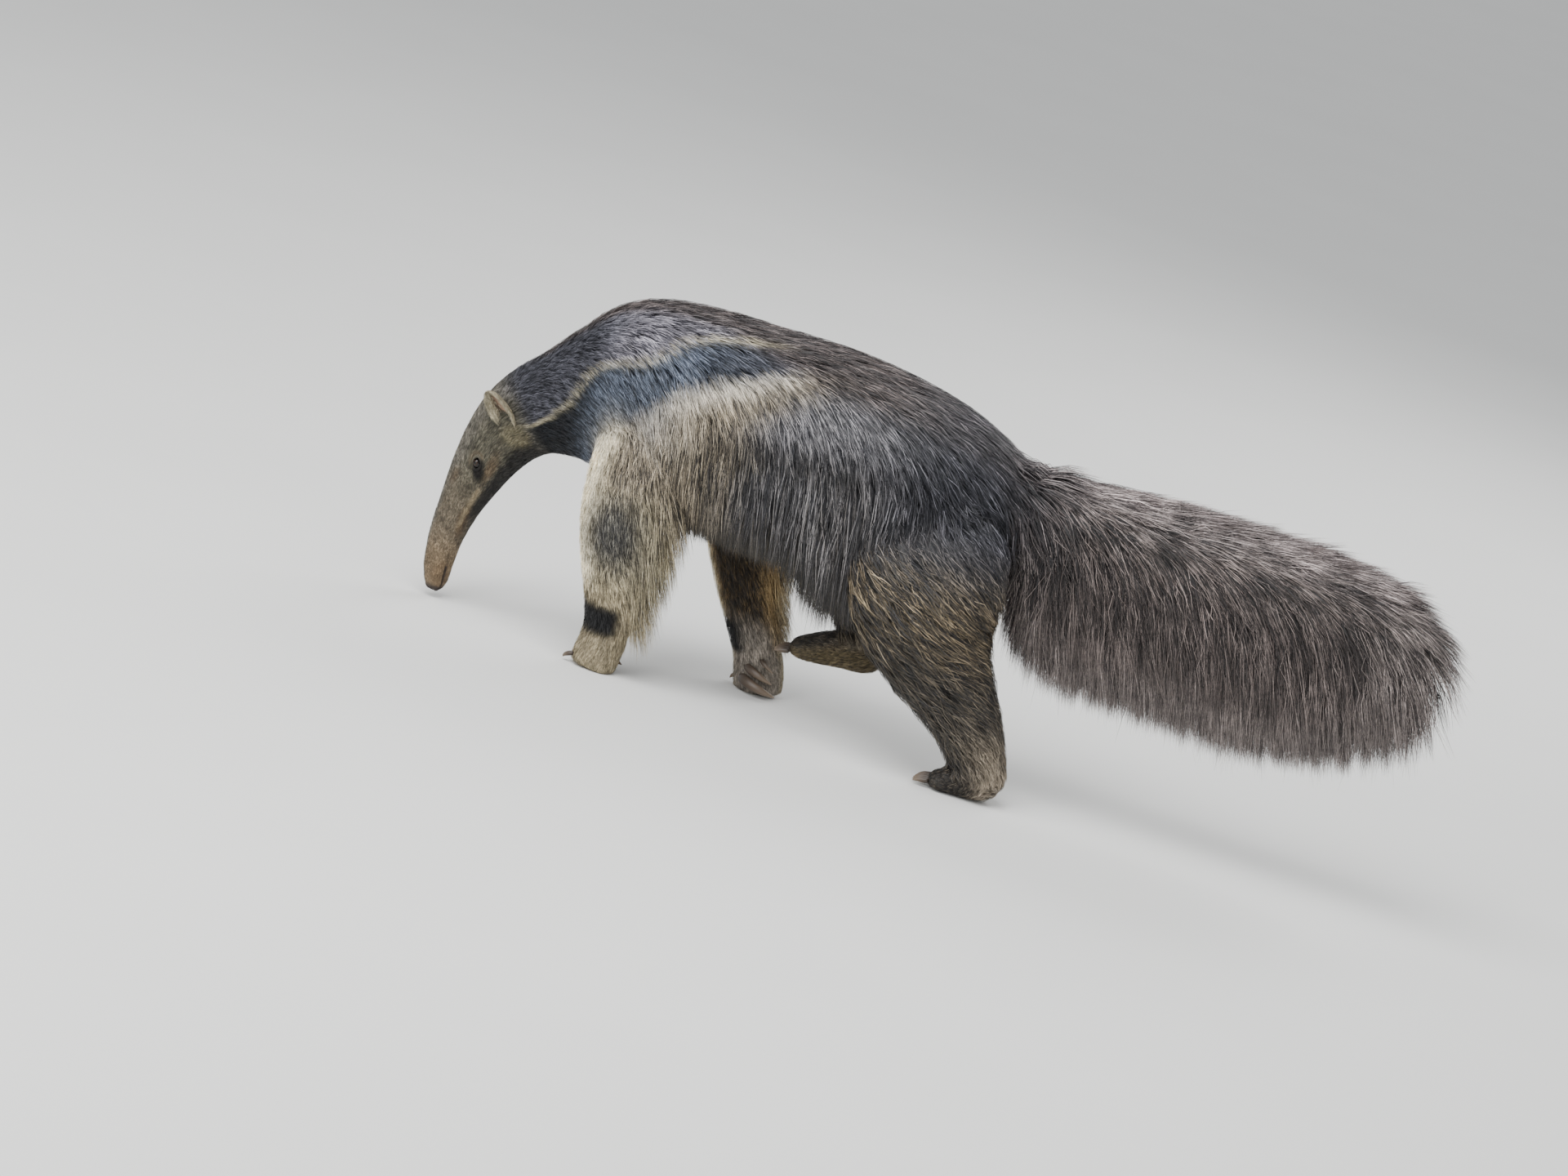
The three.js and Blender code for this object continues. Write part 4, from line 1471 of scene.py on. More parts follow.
    def sculpt_mouth(self, places: np.ndarray, normals: np.ndarray) -> np.ndarray:
        """Cuts the line of the mouth between soft lips, and the nostrils.

        Args:
            places: places in mm, as rows of x, y, z.
            normals: the ways out of the skin there.

        Returns:
            The moved places.
        """
        head = places[:, 0] < -480
        t, angle, _ = FORMS["trunk"].locate(places[head])
        size = FORMS["trunk"].values(t)[:, 4]
        off = (turn_of(angle) - MOUTH_TURN) * DEGREE * size
        open_part = 1 - ease(t, 0.1, 0.12)
        push = (self.lip * bump_of(np.abs(off) - 2.2, 1.3) - self.mouth_cut * bump_of(off, 0.9)) * open_part
        fold = 1 - ease(t, 0.2, 0.33)
        push = push - 1.0 * bump_of(off - 1.5, 3.0) * fold * (1 - open_part)
        for side in SIDES.values():
            hole = np.array(self.nostril) * [1, side, 1]
            gap = np.linalg.norm((places[head] - hole) / [1, 0.8, 1.3], axis=1)
            push = push - self.nostril_depth * bump_of(gap, 2.2) + 0.8 * bump_of(gap - 4.2, 1.4)
        places[head] += normals[head] * push[:, None]
        return places

    def sculpt_feet(self, places: np.ndarray, normals: np.ndarray) -> np.ndarray:
        """Parts the toes by grooves.

        Args:
            places: places in mm, as rows of x, y, z.
            normals: the ways out of the skin there.

        Returns:
            The moved places.
        """
        for name in FEET:
            t, _, out = FORMS[name].locate(places)
            near = out < 1.25
            middle = FORMS[name].values(t)
            across = places[:, 1] - middle[:, 1]
            if name.startswith("hind"):
                grooves, amount = self.hind_grooves, self.hind_cut * ease(t, 0.6, 0.85)
            else:
                front = ease(middle[:, 0] - places[:, 0], 12, 30)
                grooves, amount = self.fore_grooves, self.fore_cut * front * ease(t, 0.15, 0.6)
            groove = np.min([np.abs(across - at) for at in grooves], axis=0)
            press = amount * bump_of(groove, 2.4) * near
            places = places - normals * press[:, None]
        return places

    def measure(self) -> None:
        """Works out the fields that the coat grows from."""
        mesh = self.piece.data
        mesh.update()
        place = from_frame(read_points(mesh))
        normal = read_normals(mesh)
        found = [form.locate(place) for form in FORMS.values()]
        out = np.array([f[2] for f in found])
        part = out.argmin(0)
        weight = np.exp(-(out - out.min(0)) / self.blend)
        weight /= weight.sum(0)
        sums = {key: np.zeros_like(place) for key in ("chord", "dark", "pale")}
        sums.update({key: np.zeros(len(place)) for key in ("lift", "cling", "amount", "depth", "width")})
        for index, name in enumerate(PART_NAMES):
            rows = weight[index] > 0.01
            t, angle, _ = found[index]
            spots, share = Spots(name, place[rows], normal[rows], t[rows], angle[rows]), weight[index][rows]
            values = dict(zip(("chord", "lift", "cling"), self.lie.at(spots)))
            values.update(zip(("dark", "pale", "amount"), self.markings.at(spots)))
            values.update(depth=fur_of(name).depth(spots.t), width=fur_of(name).width(spots.t))
            for key, value in values.items():
                sums[key][rows] += value * (share[:, None] if value.ndim == 2 else share)
        every = np.arange(len(place))
        t = np.array([f[0] for f in found])[part, every]
        angle = np.array([f[1] for f in found])[part, every]
        depth = sums.pop("depth")
        self.fields = Fields(place, normal, part, t, angle, cover=self.bare(place, normal, part, t), **sums)
        # Painted shade: skin under deeper fur is darker.
        fur_shade = np.interp(depth, (1, 5), (1.0, 0.6))[:, None]
        self.tint = mix(sums["dark"], sums["pale"], sums["amount"] * 0.8) * fur_shade

    @staticmethod
    def bare(place: np.ndarray, normal: np.ndarray, part: np.ndarray, t: np.ndarray) -> np.ndarray:
        """Works out how much hair each vertex carries: none on soles, lids and nose.

        Args:
            place: places in mm, as rows of x, y, z.
            normal: the ways out of the skin there.
            part: the number of the form.
            t: shares of the form's line.

        Returns:
            0 bare to 1 covered.
        """
        cover = ease(eye_ring(place), 1.4, 2.2)
        cover *= 1 - ease(-normal[:, 2], 0.5, 0.8) * (1 - ease(place[:, 2], 10, 22))
        trunk = part == PART_NAMES.index("trunk")
        return cover * np.where(trunk, ease(t, 0.02, 0.06), 1)

    def dress(self) -> None:
        """Gives the skin its colours, combed coordinates and material."""
        f, mesh = self.fields, self.piece.data
        add_tint(mesh, self.tint)
        girth = np.array([FORMS[name].values(np.array([0.5]))[0, 3] for name in PART_NAMES])[f.part]
        add_combed(mesh, f.t * LINE_LENGTH, f.angle, girth)
        dress_mesh(mesh, SkinFinish().material())

    def pelt(self) -> Pelt:
        """The skin as a surface to grow hair from."""
        return Pelt(self.piece.data, self.fields, PART_NAMES)


@dataclass(frozen=True)
class Region:
    """One piece of the coat.

    Rows are the sections of a tuft, clump the size in mm of the clumps that tips gather into, and
    gather how strongly they do. Contrast parts dark tufts from pale ones, mottle makes coarse patches
    darker or lighter, and gold is the share of pale hair at the tips.
    """

    name: str
    parts: tuple
    slot: str
    nodes: tuple
    tufts: int
    rows: int = 3
    clump: float = 9.0
    gather: float = 0.4
    start: float = 0.0
    end: float = 1.0
    side: int = 0
    spread: float = 0.1
    contrast: float = 3.0
    wave: float = 0.02
    sink: float = 1.5
    mottle: float = 0.14
    gold: float = 0.25


def limb(kind: str, side: str, tufts: int, clump: float, gather: float, wave: float) -> Region:
    """Names the coat of one leg with its foot.

    Args:
        kind: fore or hind.
        side: left or right.
        tufts: how many.
        clump: mm of a clump.
        gather: how strongly tips gather.
        wave: waviness.

    Returns:
        The region.
    """
    parts = (f"{kind}leg_{side}", f"{kind}foot_{side}")
    return Region(f"coat_{kind}leg_{side}", parts, f"fur_{kind}leg", parts, tufts, 3, clump, gather,
                  spread=0.13, wave=wave, sink=1.0, contrast=4.5, gold=0.5 if kind == "hind" else 0.25)


REGIONS = (
    Region("coat_head", ("trunk",), "fur_head", ("head",), 60000, 2, 4, 0.25, 0.0, 0.44,
           contrast=4.0, sink=0.5, mottle=0.2),
    Region("coat_neck", ("trunk",), "fur_body", ("neck",), 30000, 3, 6, 0.3, 0.44, 0.6,
           contrast=2.6, sink=0.8),
    *(
        Region(f"coat_back_{side}", ("trunk",), "fur_body", ("torso",), 33000, 3, 8, 0.65, 0.6, 1.0,
               SIDES[side], 0.14, contrast=4.0, mottle=0.18)
        for side in SIDES
    ),
    *(
        Region(f"coat_tail_{side}", ("tail",), "fur_tail", ("tail",), 34000, 3, 10, 0.65, 0.0, 1.0,
               SIDES[side], 0.17, contrast=4.0, wave=0.05, mottle=0.24)
        for side in SIDES
    ),
    limb("fore", "left", 22000, 6, 0.35, 0.02),
    limb("fore", "right", 17000, 6, 0.35, 0.02),
    limb("hind", "left", 29000, 8, 0.75, 0.07),
    limb("hind", "right", 19000, 8, 0.7, 0.06),
)
PATCH = 0.003


def ear_region(side: str) -> Region:
    """The short fur of one ear."""
    return Region(f"coat_ear_{side}", ("ear",), "ear_skin", (f"ear_{side}",), 5500, 2, 3, 0.2,
                  spread=0.25, contrast=1.5, sink=0.3)


@dataclass
class Coat:
    """Hair over the skin and ears, as joined thin tufts that follow its lie.

    Tips stray by their piece's spread times their length, up to stray_length mm of it, and at most
    by stray_limit spreads. Lengths run from the longest share of the chord down by up to shorter.
    """

    stray_limit: float = 1.8
    stray_length: float = 90.0
    longest: float = 1.14
    shorter: float = 0.55
    random: np.random.Generator = field(default_factory=lambda: np.random.default_rng(SEED))

    def roots(self, region: Region, pelt: Pelt) -> tuple[np.ndarray, np.ndarray]:
        """Draws the places of a region's tufts.

        Args:
            region: what is grown.
            pelt: the surface that it grows from.

        Returns:
            The triangle of each root and its three shares of that triangle's corners.
        """
        f = pelt.fields
        wanted = np.isin(f.part, [pelt.names.index(name) for name in region.parts])
        wanted &= (f.t >= region.start) & (f.t <= region.end)
        if region.side:
            wanted &= f.place[:, 1] * region.side >= 0
        short = (10 / np.maximum(np.linalg.norm(f.chord, axis=1), 6)) ** 0.5
        weight = pelt.areas * wanted[pelt.corners[:, 0]] * (f.cover * short)[pelt.corners].mean(1)
        count = int(region.tufts * (1))
        total = np.cumsum(weight)
        pick = np.searchsorted(total, (np.arange(count) + self.random.random(count)) / count * total[-1])
        u, v = self.random.random((2, count))
        flip = u + v > 1
        u, v = np.where(flip, 1 - u, u), np.where(flip, 1 - v, v)
        return np.minimum(pick, len(total) - 1), np.c_[1 - u - v, u, v]

    @staticmethod
    def clumps(root: np.ndarray, size: float) -> np.ndarray:
        """Parts roots into clumps.

        Args:
            root: roots in mm, as rows of x, y, z.
            size: mm of a clump.

        Returns:
            One number for each root.
        """
        wobble = np.sin(root[:, [1, 2, 0]] / size * 1.7) + np.sin(root[:, [2, 0, 1]] / size * 0.9)
        cell = np.floor((root + wobble * size * 0.35) / size).astype(int)
        return np.unique(cell, axis=0, return_inverse=True)[1].ravel()

    @staticmethod
    def gather(root: np.ndarray, tip: np.ndarray, clump: np.ndarray, strength: float) -> np.ndarray:
        """Brings the tips of each clump together.

        Args:
            root: roots in mm, as rows of x, y, z.
            tip: tips, the same way.
            clump: the number of each one's clump.
            strength: 0 leaves them, 1 joins them.

        Returns:
            The moved tips.
        """
        count = np.bincount(clump)
        low, high = (
            np.array([np.bincount(clump, row[:, k]) / count for k in range(3)]).T for row in (root, tip)
        )
        goal = high[clump] + (root - low[clump]) * 0.3
        return tip + (goal - tip) * strength

    def grow(self, region: Region, pelt: Pelt) -> bpy.types.Object:
        """Makes one region of the coat.

        Args:
            region: what to grow.
            pelt: the surface that it grows from.

        Returns:
            The piece.
        """
        f = pelt.fields
        face, shares = self.roots(region, pelt)
        corners = pelt.corners[face]

        def at(values: np.ndarray) -> np.ndarray:
            """A field at each root."""
            three = values[corners]
            return (three * (shares[:, :, None] if three.ndim == 3 else shares)).sum(1)

        count, draw = len(face), self.random
        root, normal, chord = at(f.place), unit(at(f.normal)), at(f.chord)
        long = np.linalg.norm(chord, axis=1)
        side = unit(np.cross(normal, chord))
        clump = self.clumps(root, region.clump)
        limit, reach = self.stray_limit, np.minimum(long, self.stray_length)
        lean = np.clip(draw.normal(0, 0.85, clump.max() + 1), -limit, limit)[clump] * region.spread
        stray = np.clip(draw.normal(0, 1, (count, 2)), -limit, limit) * (region.spread * reach)[:, None]
        tip = root + chord * (self.longest - self.shorter * draw.random(count) ** 1.5)[:, None]
        tip = tip + side * (stray[:, 0] + lean * reach)[:, None] + normal * stray[:, 1:] * 0.5
        tip = self.gather(root, tip, clump, region.gather)
        lift, cling = at(f.lift) * (0.5 + 0.6 * draw.random(count)), at(f.cling)
        middle = (root + tip) / 2 + normal * (lift * (1 - 0.4 * cling))[:, None]
        tip, under_tip = pelt.settle(tip, lift, cling)
        middle, under_middle = pelt.settle(middle, lift * 0.85, cling)
        tone = [at(f.dark), at(f.pale), at(f.amount)]
        tones = [tone]
        for under in (under_middle, under_tip):
            tones.append([mix(own, there, cling) for own, there in zip(tone, pelt.tone(under))])
        patches = [self.clumps(root, region.clump * size) for size in (0.5, 1, 3)]
        colours = self.colours(tones, patches, region)
        width = at(f.width) * (0.7 + 0.6 * draw.random(count))
        lines = (root - normal * region.sink, middle, tip)
        piece = self.tufts(region, lines, normal, width, colours, self.unwrap(pelt, corners, shares))
        LOG.info("%s: %d tufts, %d faces", region.name, count, len(piece.data.polygons))
        return piece

    @staticmethod
    def unwrap(pelt: Pelt, corners: np.ndarray, shares: np.ndarray) -> np.ndarray:
        """Finds the place of each root on an unwrap of its forms.

        Args:
            pelt: the surface.
            corners: the corners of each root's triangle.
            shares: the root's share of each corner.

        Returns:
            Rows of two numbers, 0 to 1.
        """
        f, first = pelt.fields, corners[:, 0]
        turn = f.angle[first] / (2 * math.pi) + 0.5
        foot = np.array([name in FEET for name in pelt.names])[f.part[first]]
        t = (f.t[corners] * shares).sum(1) + foot * 1.05
        across = (t - t.min()) / max(t.max() - t.min(), 1e-6)
        return np.c_[across, turn] * (1 - 3 * PATCH) + PATCH

    def colours(self, tones: list, patches: list, region: Region) -> list:
        """Colours of each tuft.

        Args:
            tones: dark colour, pale colour and share of pale hair, at the root, middle and tip.
            patches: the fine, middling and coarse clump that each tuft belongs to.
            region: its contrast, mottle and gold.

        Returns:
            Colours at the root, in the middle and at the tip.
        """
        count = len(patches[0])
        own = self.random.random(count)
        shared, middling, coarse = (self.random.random(patch.max() + 1)[patch] for patch in patches)
        gain = 0.8 + 0.4 * self.random.random(count)
        gain = gain * (0.84 + 0.32 * middling) * (1 + region.mottle * (2 * coarse - 1))
        gain = gain[:, None]
        bright = (self.random.random(count) + self.random.random(patches[0].max() + 1)[patches[0]]) / 2
        found = []
        # Roots get half their colour: painted shade deep in the coat.
        for (dark, pale, amount), root_shade, end in zip(tones, (0.5, 1.0, 1.0), (0.0, 0.0, 1.0)):
            lightness = np.clip((amount - own * 0.5 - shared * 0.5) * region.contrast + 0.5, 0, 1)
            body = mix(dark, pale, lightness) * gain * root_shade
            found.append(mix(body, pale, end * (region.gold * 4 * bright**4 + 0.5 * amount * bright)))
        return found

    def tufts(
        self, region: Region, lines: tuple, normal: np.ndarray, width: np.ndarray, colours: list,
        unwrap: np.ndarray,
    ) -> bpy.types.Object:
        """Builds a region's tufts as one mesh: each is a thin blade that tapers to a point.

        Args:
            region: the piece's name, rows and waviness.
            lines: the first, middle and last points of each tuft, in mm.
            normal: the way out of the skin at its root.
            width: its width.
            colours: colours at the root, middle and tip.
            unwrap: its place on the unwrap.

        Returns:
            The piece.
        """
        start, middle, tip = lines
        count, rows = len(start), region.rows
        bend = 2 * middle - (start + tip) / 2
        steps = np.linspace(0, 1, rows + 1)
        roll = self.random.normal(0, 0.5, count)[:, None]
        phase = self.random.random(count) * 3
        wave = self.random.normal(0, region.wave, count) * np.linalg.norm(tip - start, axis=1)
        side = unit(np.cross(tip - start, normal))
        points, tints = [], []
        for s in steps[:-1]:
            centre = start * (1 - s) ** 2 + bend * 2 * s * (1 - s) + tip * s**2
            centre = centre + side * (wave * np.sin(s * 6 + phase) * min(1, 3 * s))[:, None]
            way = unit((bend - start) * (1 - s) + (tip - bend) * s)
            across = unit(np.cross(way, normal))
            turned = across * np.cos(roll) + np.cross(across, way) * np.sin(roll)
            swell = 0.75 + 0.3 * math.sin(math.pi * min(1, s * 1.5))
            half = (width * 0.5 * swell * (1 - 0.25 * s))[:, None]
            points += [centre - turned * half, centre + turned * half]
            first = 0 if s < 0.5 else 1
            tints += [mix(colours[first], colours[first + 1], np.full(count, 2 * s - first))] * 2
        points.append(tip)
        tints.append(colours[2])
        tints = np.stack(tints, 1).reshape(-1, 3)
        places = np.stack(points, 1).reshape(-1, 3)
        places[:, 2] = np.maximum(places[:, 2], HAIR_FLOOR)
        mesh = tuft_mesh(region.name, places, count, rows)
        add_tint(mesh, tints)
        bake_map(mesh, unwrap, steps)
        dress_mesh(mesh, HAIR)
        return add_object(region.name, mesh)


def bake_map(mesh: bpy.types.Mesh, unwrap: np.ndarray, steps: np.ndarray) -> None:
    """Gives each tuft its own small patch of the map that the finishes are baked to.

    Args:
        mesh: the joined tufts.
        unwrap: the place of each tuft's root on the map.
        steps: the rows of a tuft, from 0 at its root to 1 at its tip.
    """
    rows, count = len(steps) - 1, len(unwrap)
    column = np.tile(np.r_[np.tile([0, 1], rows), 0.5], count)
    row = np.tile(np.r_[np.repeat(steps[:-1], 2), 1], count)
    patch = np.repeat(unwrap, 2 * rows + 1, axis=0) + np.c_[column, row] * PATCH
    loops = np.empty(len(mesh.loops), np.int32)
    mesh.loops.foreach_get("vertex_index", loops)
    mesh.uv_layers.new(name="OFBake").data.foreach_set("uv", patch[loops].astype(np.float32).ravel())


def tuft_mesh(name: str, places: np.ndarray, count: int, rows: int) -> bpy.types.Mesh:
    """Joins many tufts of the same make into one mesh.

    Args:
        name: the mesh's name.
        places: the points of all tufts in mm, two for each row and one at the tip.
        count: how many tufts.
        rows: how many rows each has.

    Returns:
        The mesh, in the frame.
    """
    each = 2 * rows + 1
    quads = [[2 * r, 2 * r + 1, 2 * r + 3, 2 * r + 2] for r in range(rows - 1)]
    pattern = np.array([v for face in quads for v in face] + [each - 3, each - 2, each - 1])
    sizes = np.array([4] * len(quads) + [3])
    loops = (np.arange(count)[:, None] * each + pattern).ravel()
    lengths = np.tile(sizes, count)
    mesh = bpy.data.meshes.new(name)
    mesh.vertices.add(len(places))
    mesh.vertices.foreach_set("co", to_frame(places).ravel())
    mesh.loops.add(len(loops))
    mesh.loops.foreach_set("vertex_index", loops.astype(np.int32))
    mesh.polygons.add(len(lengths))
    mesh.polygons.foreach_set("loop_start", np.r_[0, np.cumsum(lengths)[:-1]].astype(np.int32))
    mesh.update(calc_edges=True)
    return mesh


@dataclass
class Eye:
    """An eyeball with a clear bulge over its iris."""

    side: str
    # Half angle of the iris, rise of the cornea as a share of the radius, and the way it looks.
    iris: float = 0.72
    cornea: float = 0.05
    gaze: tuple = (-0.25, 1, 0.05)
    slack: float = 0.1

    def build(self) -> bpy.types.Object:
        """Makes the eye.

        Returns:
            The piece.
        """
        sign = SIDES[self.side]
        ball = bmesh.new()
        bmesh.ops.create_icosphere(ball, subdivisions=4, radius=1)
        mesh = to_mesh(ball, f"eyeball_{self.side}")
        places = read_points(mesh)
        gaze = unit(np.array([self.gaze]) * [1, sign, 1])[0]
        off = np.arccos(np.clip(places @ gaze, -1, 1))
        bulge = 1 + self.cornea * (1 - ease(off, 0.3, 0.85))
        places = places * bulge[:, None] * (EYE_RADIUS - self.slack) + EYE_AT * [1, -sign, 1]
        write_points(mesh, to_frame(places))
        add_attribute(mesh, "ring", "FLOAT", np.clip(off / self.iris, 0, 1))
        dress_mesh(mesh, EYE_LOOK)
        return add_object(mesh.name, mesh)


@dataclass
class Ear:
    """A rounded cup with a thick rim, open to the front and side."""

    side: str
    base: tuple = (-480, -42, 306)
    tip: tuple = (-535, -70, 362)
    half_wide: float = 19.0
    deep: float = 12.0
    wall: float = 2.8
    flap: float = 5.0
    rim: float = 0.55
    curl: float = 5.0
    skew: float = 0.2
    fur: float = 6.5
    opening: tuple = (-0.55, -0.8, 0.1)
    grain: float = 30.0

    def axes(self) -> tuple[np.ndarray, np.ndarray, np.ndarray]:
        """The axes of the left ear.

        Returns:
            The ways up the ear, out of its opening and across it, towards its rear edge.
        """
        up = unit(np.array(self.tip, float)[None] - np.array(self.base, float))[0]
        facing = np.array(self.opening)
        facing = unit((facing - up * (facing @ up))[None])[0]
        return up, facing, np.cross(up, facing)

    def build(self) -> bpy.types.Object:
        """Makes the ear.

        Returns:
            The piece.
        """
        mesh = ball_mesh(f"ear_shell_{self.side}", 48, 40)
        points = read_points(mesh)
        share = np.arccos(np.clip(-points[:, 2], -1, 1)) / math.pi
        turn = np.arctan2(points[:, 1], points[:, 0])
        outer = np.clip(share / self.rim, 0, 1) * math.pi / 2
        inner = np.clip((share - self.rim) / (1 - self.rim), 0, 1) * math.pi / 2
        on_inner = share > self.rim
        low, high = np.array(self.base, float), np.array(self.tip, float)
        up, facing, across = self.axes()
        forward = 1 if across[0] < 0 else -1
        front = np.cos(turn) * forward
        thin = (self.wall + self.flap * ease(front, -0.3, 0.9)) / self.half_wide
        within = (1 - thin * ease(inner, 0, 0.3)) * np.cos(inner)
        reach = np.where(on_inner, within, np.sin(outer))
        sink = np.where(on_inner, (1 - self.wall / self.deep) * np.sin(inner), np.cos(outer))
        tall, wide = np.sin(turn) * reach, np.cos(turn) * reach
        narrow = 1 - 0.3 * ease(-tall, 0.1, 1)
        curl = self.curl * ease(np.abs(wide), 0.4, 1) * (1 - sink)
        skew = np.where(on_inner, self.skew * np.sin(inner), 0) * forward
        places = (
            (low + high) / 2
            + up * (tall * np.linalg.norm(high - low) / 2 * 1.04)[:, None]
            + across * ((wide + skew) * self.half_wide * narrow)[:, None]
            - facing * (sink * self.deep - curl)[:, None]
        )
        sign = SIDES[self.side]
        places = places * [1, -sign, 1]
        if sign > 0:
            mesh.flip_normals()
        write_points(mesh, to_frame(places))
        self.measure(mesh, places, (share, turn, on_inner, inner), front * np.cos(inner * on_inner))
        add_combed(mesh, tall * self.grain, turn, self.grain)
        dress_mesh(mesh, SKIN_LOOK)
        self.piece = add_object(mesh.name, mesh)
        return self.piece

    def measure(self, mesh: bpy.types.Mesh, places: np.ndarray, rings: tuple, front: np.ndarray) -> None:
        """Works out the colours and the fields that the ear's fur grows from.

        Args:
            mesh: the ear.
            places: its points in mm.
            rings: share from back to bottom, turn, whether inside, and how deep inside.
            front: how far forward each point lies in the cup, from -1 to 1.
        """
        share, turn, on_inner, inner = rings
        count = len(places)
        ahead = ease(front, -0.35, 0.25)
        hollow = on_inner * np.sin(inner)
        plate, _, _ = Tone.EAR_PLATE.colours()
        dark, pale, amount = Markings.ground(Tone.EAR_BACK, count)
        bare = on_inner * ease(inner, 0.2, 0.5) * (1 - 0.8 * ease(front, 0.3, 0.7))
        # Painted shade in the cup's hollow, darkest towards its front rim.
        slot = np.clip(hollow * 1.5, 0, 1) * (0.25 + 0.75 * ahead)
        tint = mix(mix(dark, pale, amount), np.tile(plate, (count, 1)), bare)
        tint = tint * (1 - 0.85 * slot)[:, None]
        add_tint(mesh, tint)
        up = self.axes()[0] * [1, -SIDES[self.side], 1]
        normal = read_normals(mesh)
        chord = unit(up - normal * (normal @ up)[:, None]) * self.fur
        lining = 1 - ease(inner, 0.15 + 0.3 * ahead, 0.6 + 0.4 * ahead)
        cover = np.where(on_inner, 0.9 * lining + 0.08, 1.0)
        lift, cling, width = (np.full(count, value) for value in (1.6, 0.9, 0.5))
        self.fields = Fields(
            places, normal, np.zeros(count, int), share, turn, chord, lift, cling, width,
            dark, pale, amount, cover,
        )

    def pelt(self) -> Pelt:
        """The ear as a surface to grow fur from."""
        return Pelt(self.piece.data, self.fields, ["ear"])


@dataclass
class Claws:
    """Claws of the four feet: folded back inside the forefeet, straight on the hind feet."""

    # The path of each fore claw from its foot's middle and its thickness.
    fore_paths: tuple = (
        (((-6, 22, 60), (4, 34, 57), (14, 38, 52), (24, 37, 46)), 4),
        (((-26, 20, 42), (-12, 36, 40), (8, 43, 35), (28, 39, 28)), 7),
        (((-28, 20, 22), (-14, 37, 20), (12, 45, 15), (38, 38, 9)), 9),
        (((-32, -16, 16), (-40, -16, 13), (-46, -15, 9), (-49, -14, 4)), 4),
    )
    # Length, thickness and place across the foot of each hind claw, and the curl that all share.
    hind_sizes: tuple = ((17, 4.2, -24), (19, 4.6, -12.5), (20, 4.8, 0), (19, 4.6, 12.5), (17, 4.2, 24))
    curl: tuple = ((0.5, 0.1), (0, 0), (-0.5, -0.08), (-1, -0.3))
    # The middle of each forefoot with the way inwards, and the root of each hind foot's middle claw.
    fore_centres: tuple = (("forefoot_left", (-243, -96, 1)), ("forefoot_right", (-9, 97, -1)))
    hind_roots: tuple = (("hindfoot_left", (318, -108, 10)), ("hindfoot_right", (26, 51, 97)))
    taper: tuple = (0.9, 1, 0.75, 0.16)
    grain: float = 30.0

    def paths(self) -> dict:
        """Lays out the claws.

        Returns:
            The path and thickness of every claw, by its node's name.
        """
        found = {}
        for foot, (x, y, inwards) in self.fore_centres:
            for number, (steps, thick) in enumerate(self.fore_paths, 1):
                path = [(x + dx, y + inwards * dy, z) for dx, dy, z in steps]
                found[f"claw_{foot}_{number}"] = (path, thick)
        for foot, (x, y, z) in self.hind_roots:
            for number, (long, thick, side) in enumerate(self.hind_sizes, 1):
                path = [(x + forward * long, y + side, z + rise * long) for forward, rise in self.curl]
                found[f"claw_{foot}_{number}"] = (path, thick)
        return found

    def build(self) -> list:
        """Makes every claw with the node that it replaces."""
        return [(self.claw(name, *size), name) for name, size in self.paths().items()]

    def claw(self, name: str, path: list, thick: float) -> bpy.types.Object:
        """Makes one claw as a tapering horn with a ridge.

        Args:
            name: its node.
            path: points from root to tip, in mm.
            thick: half its depth, in mm.

        Returns:
            The piece.
        """
        stations = tuple((*p, thick * s, thick * s * 0.8) for p, s in zip(path, self.taper))
        form = Sweep(stations, square=2.0, keel=0.35)
        mesh = form.solid(lambda t: 0 * t, sides=20, rows=24, ends=(0.4, 0.3))
        mesh.name = name.replace("claw", "horn")
        places = from_frame(read_points(mesh))
        places[:, 2] = np.maximum(places[:, 2], HAIR_FLOOR)
        write_points(mesh, to_frame(places))
        t, angle, _ = form.locate(places)
        add_attribute(mesh, "ring", "FLOAT", np.clip(t, 0, 1))
        add_combed(mesh, t * self.grain, angle, thick)
        dress_mesh(mesh, HORN)
        return add_object(mesh.name, mesh)


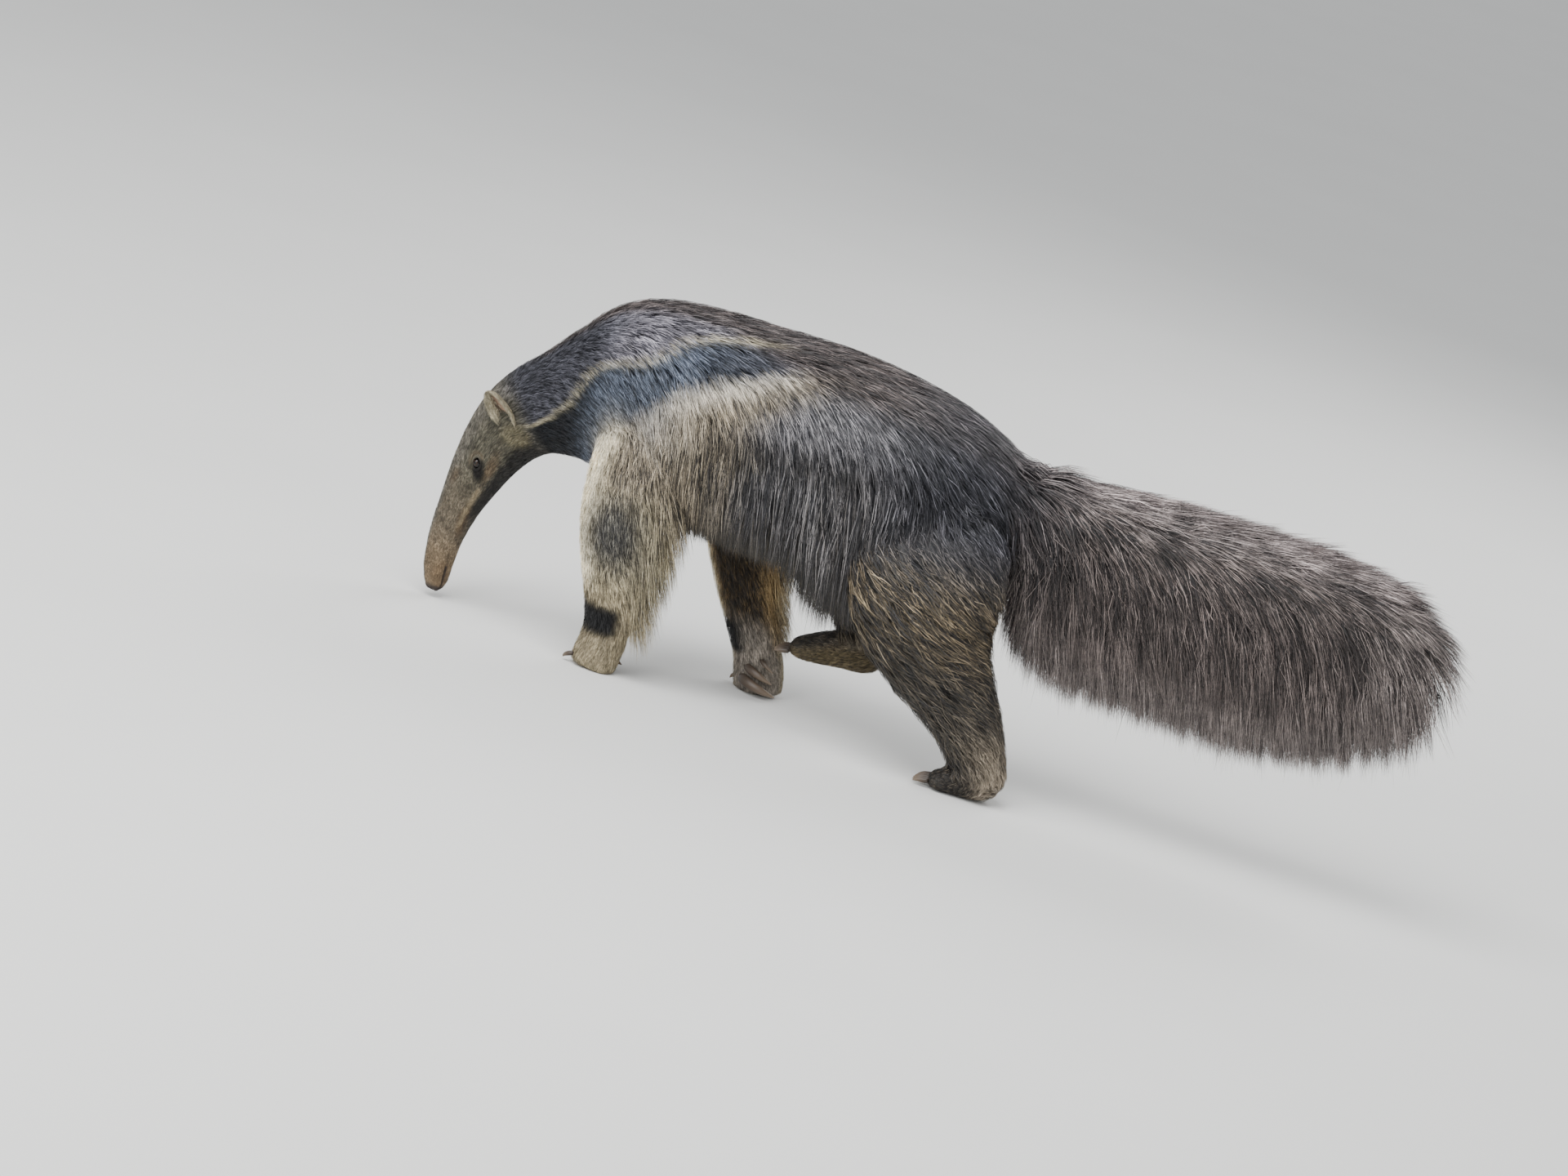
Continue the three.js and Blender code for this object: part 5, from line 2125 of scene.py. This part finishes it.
@dataclass
class Studio:
    """Pale floor, soft lights, and the camera at the photograph's angle.

    Angles are in degrees, the target is in mm, and other lengths are in metres.
    """

    azimuth: float = 8.0
    elevation: float = 13.0
    roll: float = 17.0
    distance: float = 9.0
    target: tuple = (0.0, 0.0, 200.0)
    pixels_per_mm: float = 0.77
    frame_pixels: int = 1920
    sensor: float = 36.0
    far: float = 400.0
    floor_radius: float = 90.0
    floor_gap: float = 0.0002
    # Name, place, size and power of each lamp, and the height that they aim at.
    lamps: tuple = (
        ("overhead", (-1.2, -1.6, 4.2), 3.2, 260), ("front", (-2.4, -4.5, 2.2), 1.6, 100),
        ("behind", (1.5, 3.6, 3.0), 2.6, 120),
    )
    aim: float = 0.3
    sky: tuple = (0.95, 0.97, 1.0, 1)
    sky_strength: float = 0.75

    def build(self) -> None:
        """Makes the whole studio."""
        self.floor()
        self.camera()
        self.lights()

    def floor(self) -> None:
        """Lays a wide floor just under the feet."""
        disc = bmesh.new()
        bmesh.ops.create_circle(disc, cap_ends=True, segments=96, radius=self.floor_radius)
        bmesh.ops.translate(disc, verts=disc.verts, vec=(0, 0, -self.floor_gap))
        mesh = to_mesh(disc, "floor")
        mesh.materials.append(FloorFinish().material())
        floor = add_object("floor", mesh)

    def camera(self) -> None:
        """Puts the camera where the photograph was taken from, tilted with its ground."""
        azimuth, elevation = math.radians(self.azimuth), math.radians(self.elevation)
        level = math.cos(elevation)
        back = Vector((math.sin(azimuth) * level, -math.cos(azimuth) * level, math.sin(elevation)))
        turned = back.to_track_quat("Z", "Y").to_matrix() @ Matrix.Rotation(math.radians(self.roll), 3, "Z")
        data = bpy.data.cameras.new("camera")
        data.sensor_width = self.sensor
        data.lens = self.sensor * self.pixels_per_mm * self.distance / MM / self.frame_pixels
        data.clip_end = self.far
        camera = add_object("camera", data)
        target = Vector(to_frame(np.array(self.target)))
        camera.matrix_world = Matrix.Translation(target + back * self.distance) @ turned.to_4x4()
        bpy.context.scene.camera = camera

    def lights(self) -> None:
        """Hangs a large soft lamp overhead and weak ones in front and behind, under a pale sky."""
        for name, where, size, power in self.lamps:
            data = bpy.data.lights.new(name, "AREA")
            data.size = size
            data.energy = power
            lamp = add_object(name, data)
            lamp.location = where
            away = Vector(where) - Vector((0, 0, self.aim))
            lamp.rotation_euler = away.to_track_quat("Z", "Y").to_euler()
        world = bpy.data.worlds.new("sky")
        world.use_nodes = True
        background = world.node_tree.nodes["Background"]
        background.inputs[0].default_value = self.sky
        background.inputs[1].default_value = self.sky_strength
        bpy.context.scene.world = world


FLESH = ("head", "neck", "torso", "tail", *LEGS, *FEET)
HAIR = HairFinish("coarse_hair").material()
SKIN_LOOK = SkinFinish("ear_skin").material()
EYE_LOOK = EyeFinish().material()
HORN = HornFinish().material()


def report(piece: bpy.types.Object, nodes: tuple) -> None:
    """Ties a finished piece to the frame and logs it.

    Args:
        piece: the piece.
        nodes: what it stands for.
    """
    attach(piece, ROOT_BODY)
    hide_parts(*nodes)
    LOG.info("%s stands for %s", piece.name, ", ".join(nodes))


def main() -> None:
    """Builds the animal and its studio."""
    Studio().build()
    skin = Skin()
    report(skin.build(), FLESH)
    coat, pelt = Coat(), skin.pelt()
    for region in REGIONS:
        report(coat.grow(region, pelt), region.nodes)
    for side in SIDES:
        report(Eye(side).build(), (f"eye_{side}",))
        ear, fur = Ear(side), ear_region(side)
        report(ear.build(), fur.nodes)
        report(coat.grow(fur, ear.pelt()), fur.nodes)
    for piece, node in Claws().build():
        report(piece, (node,))


if __name__ == "__main__":
    logging.basicConfig(level=logging.INFO, format="%(message)s")
    main()
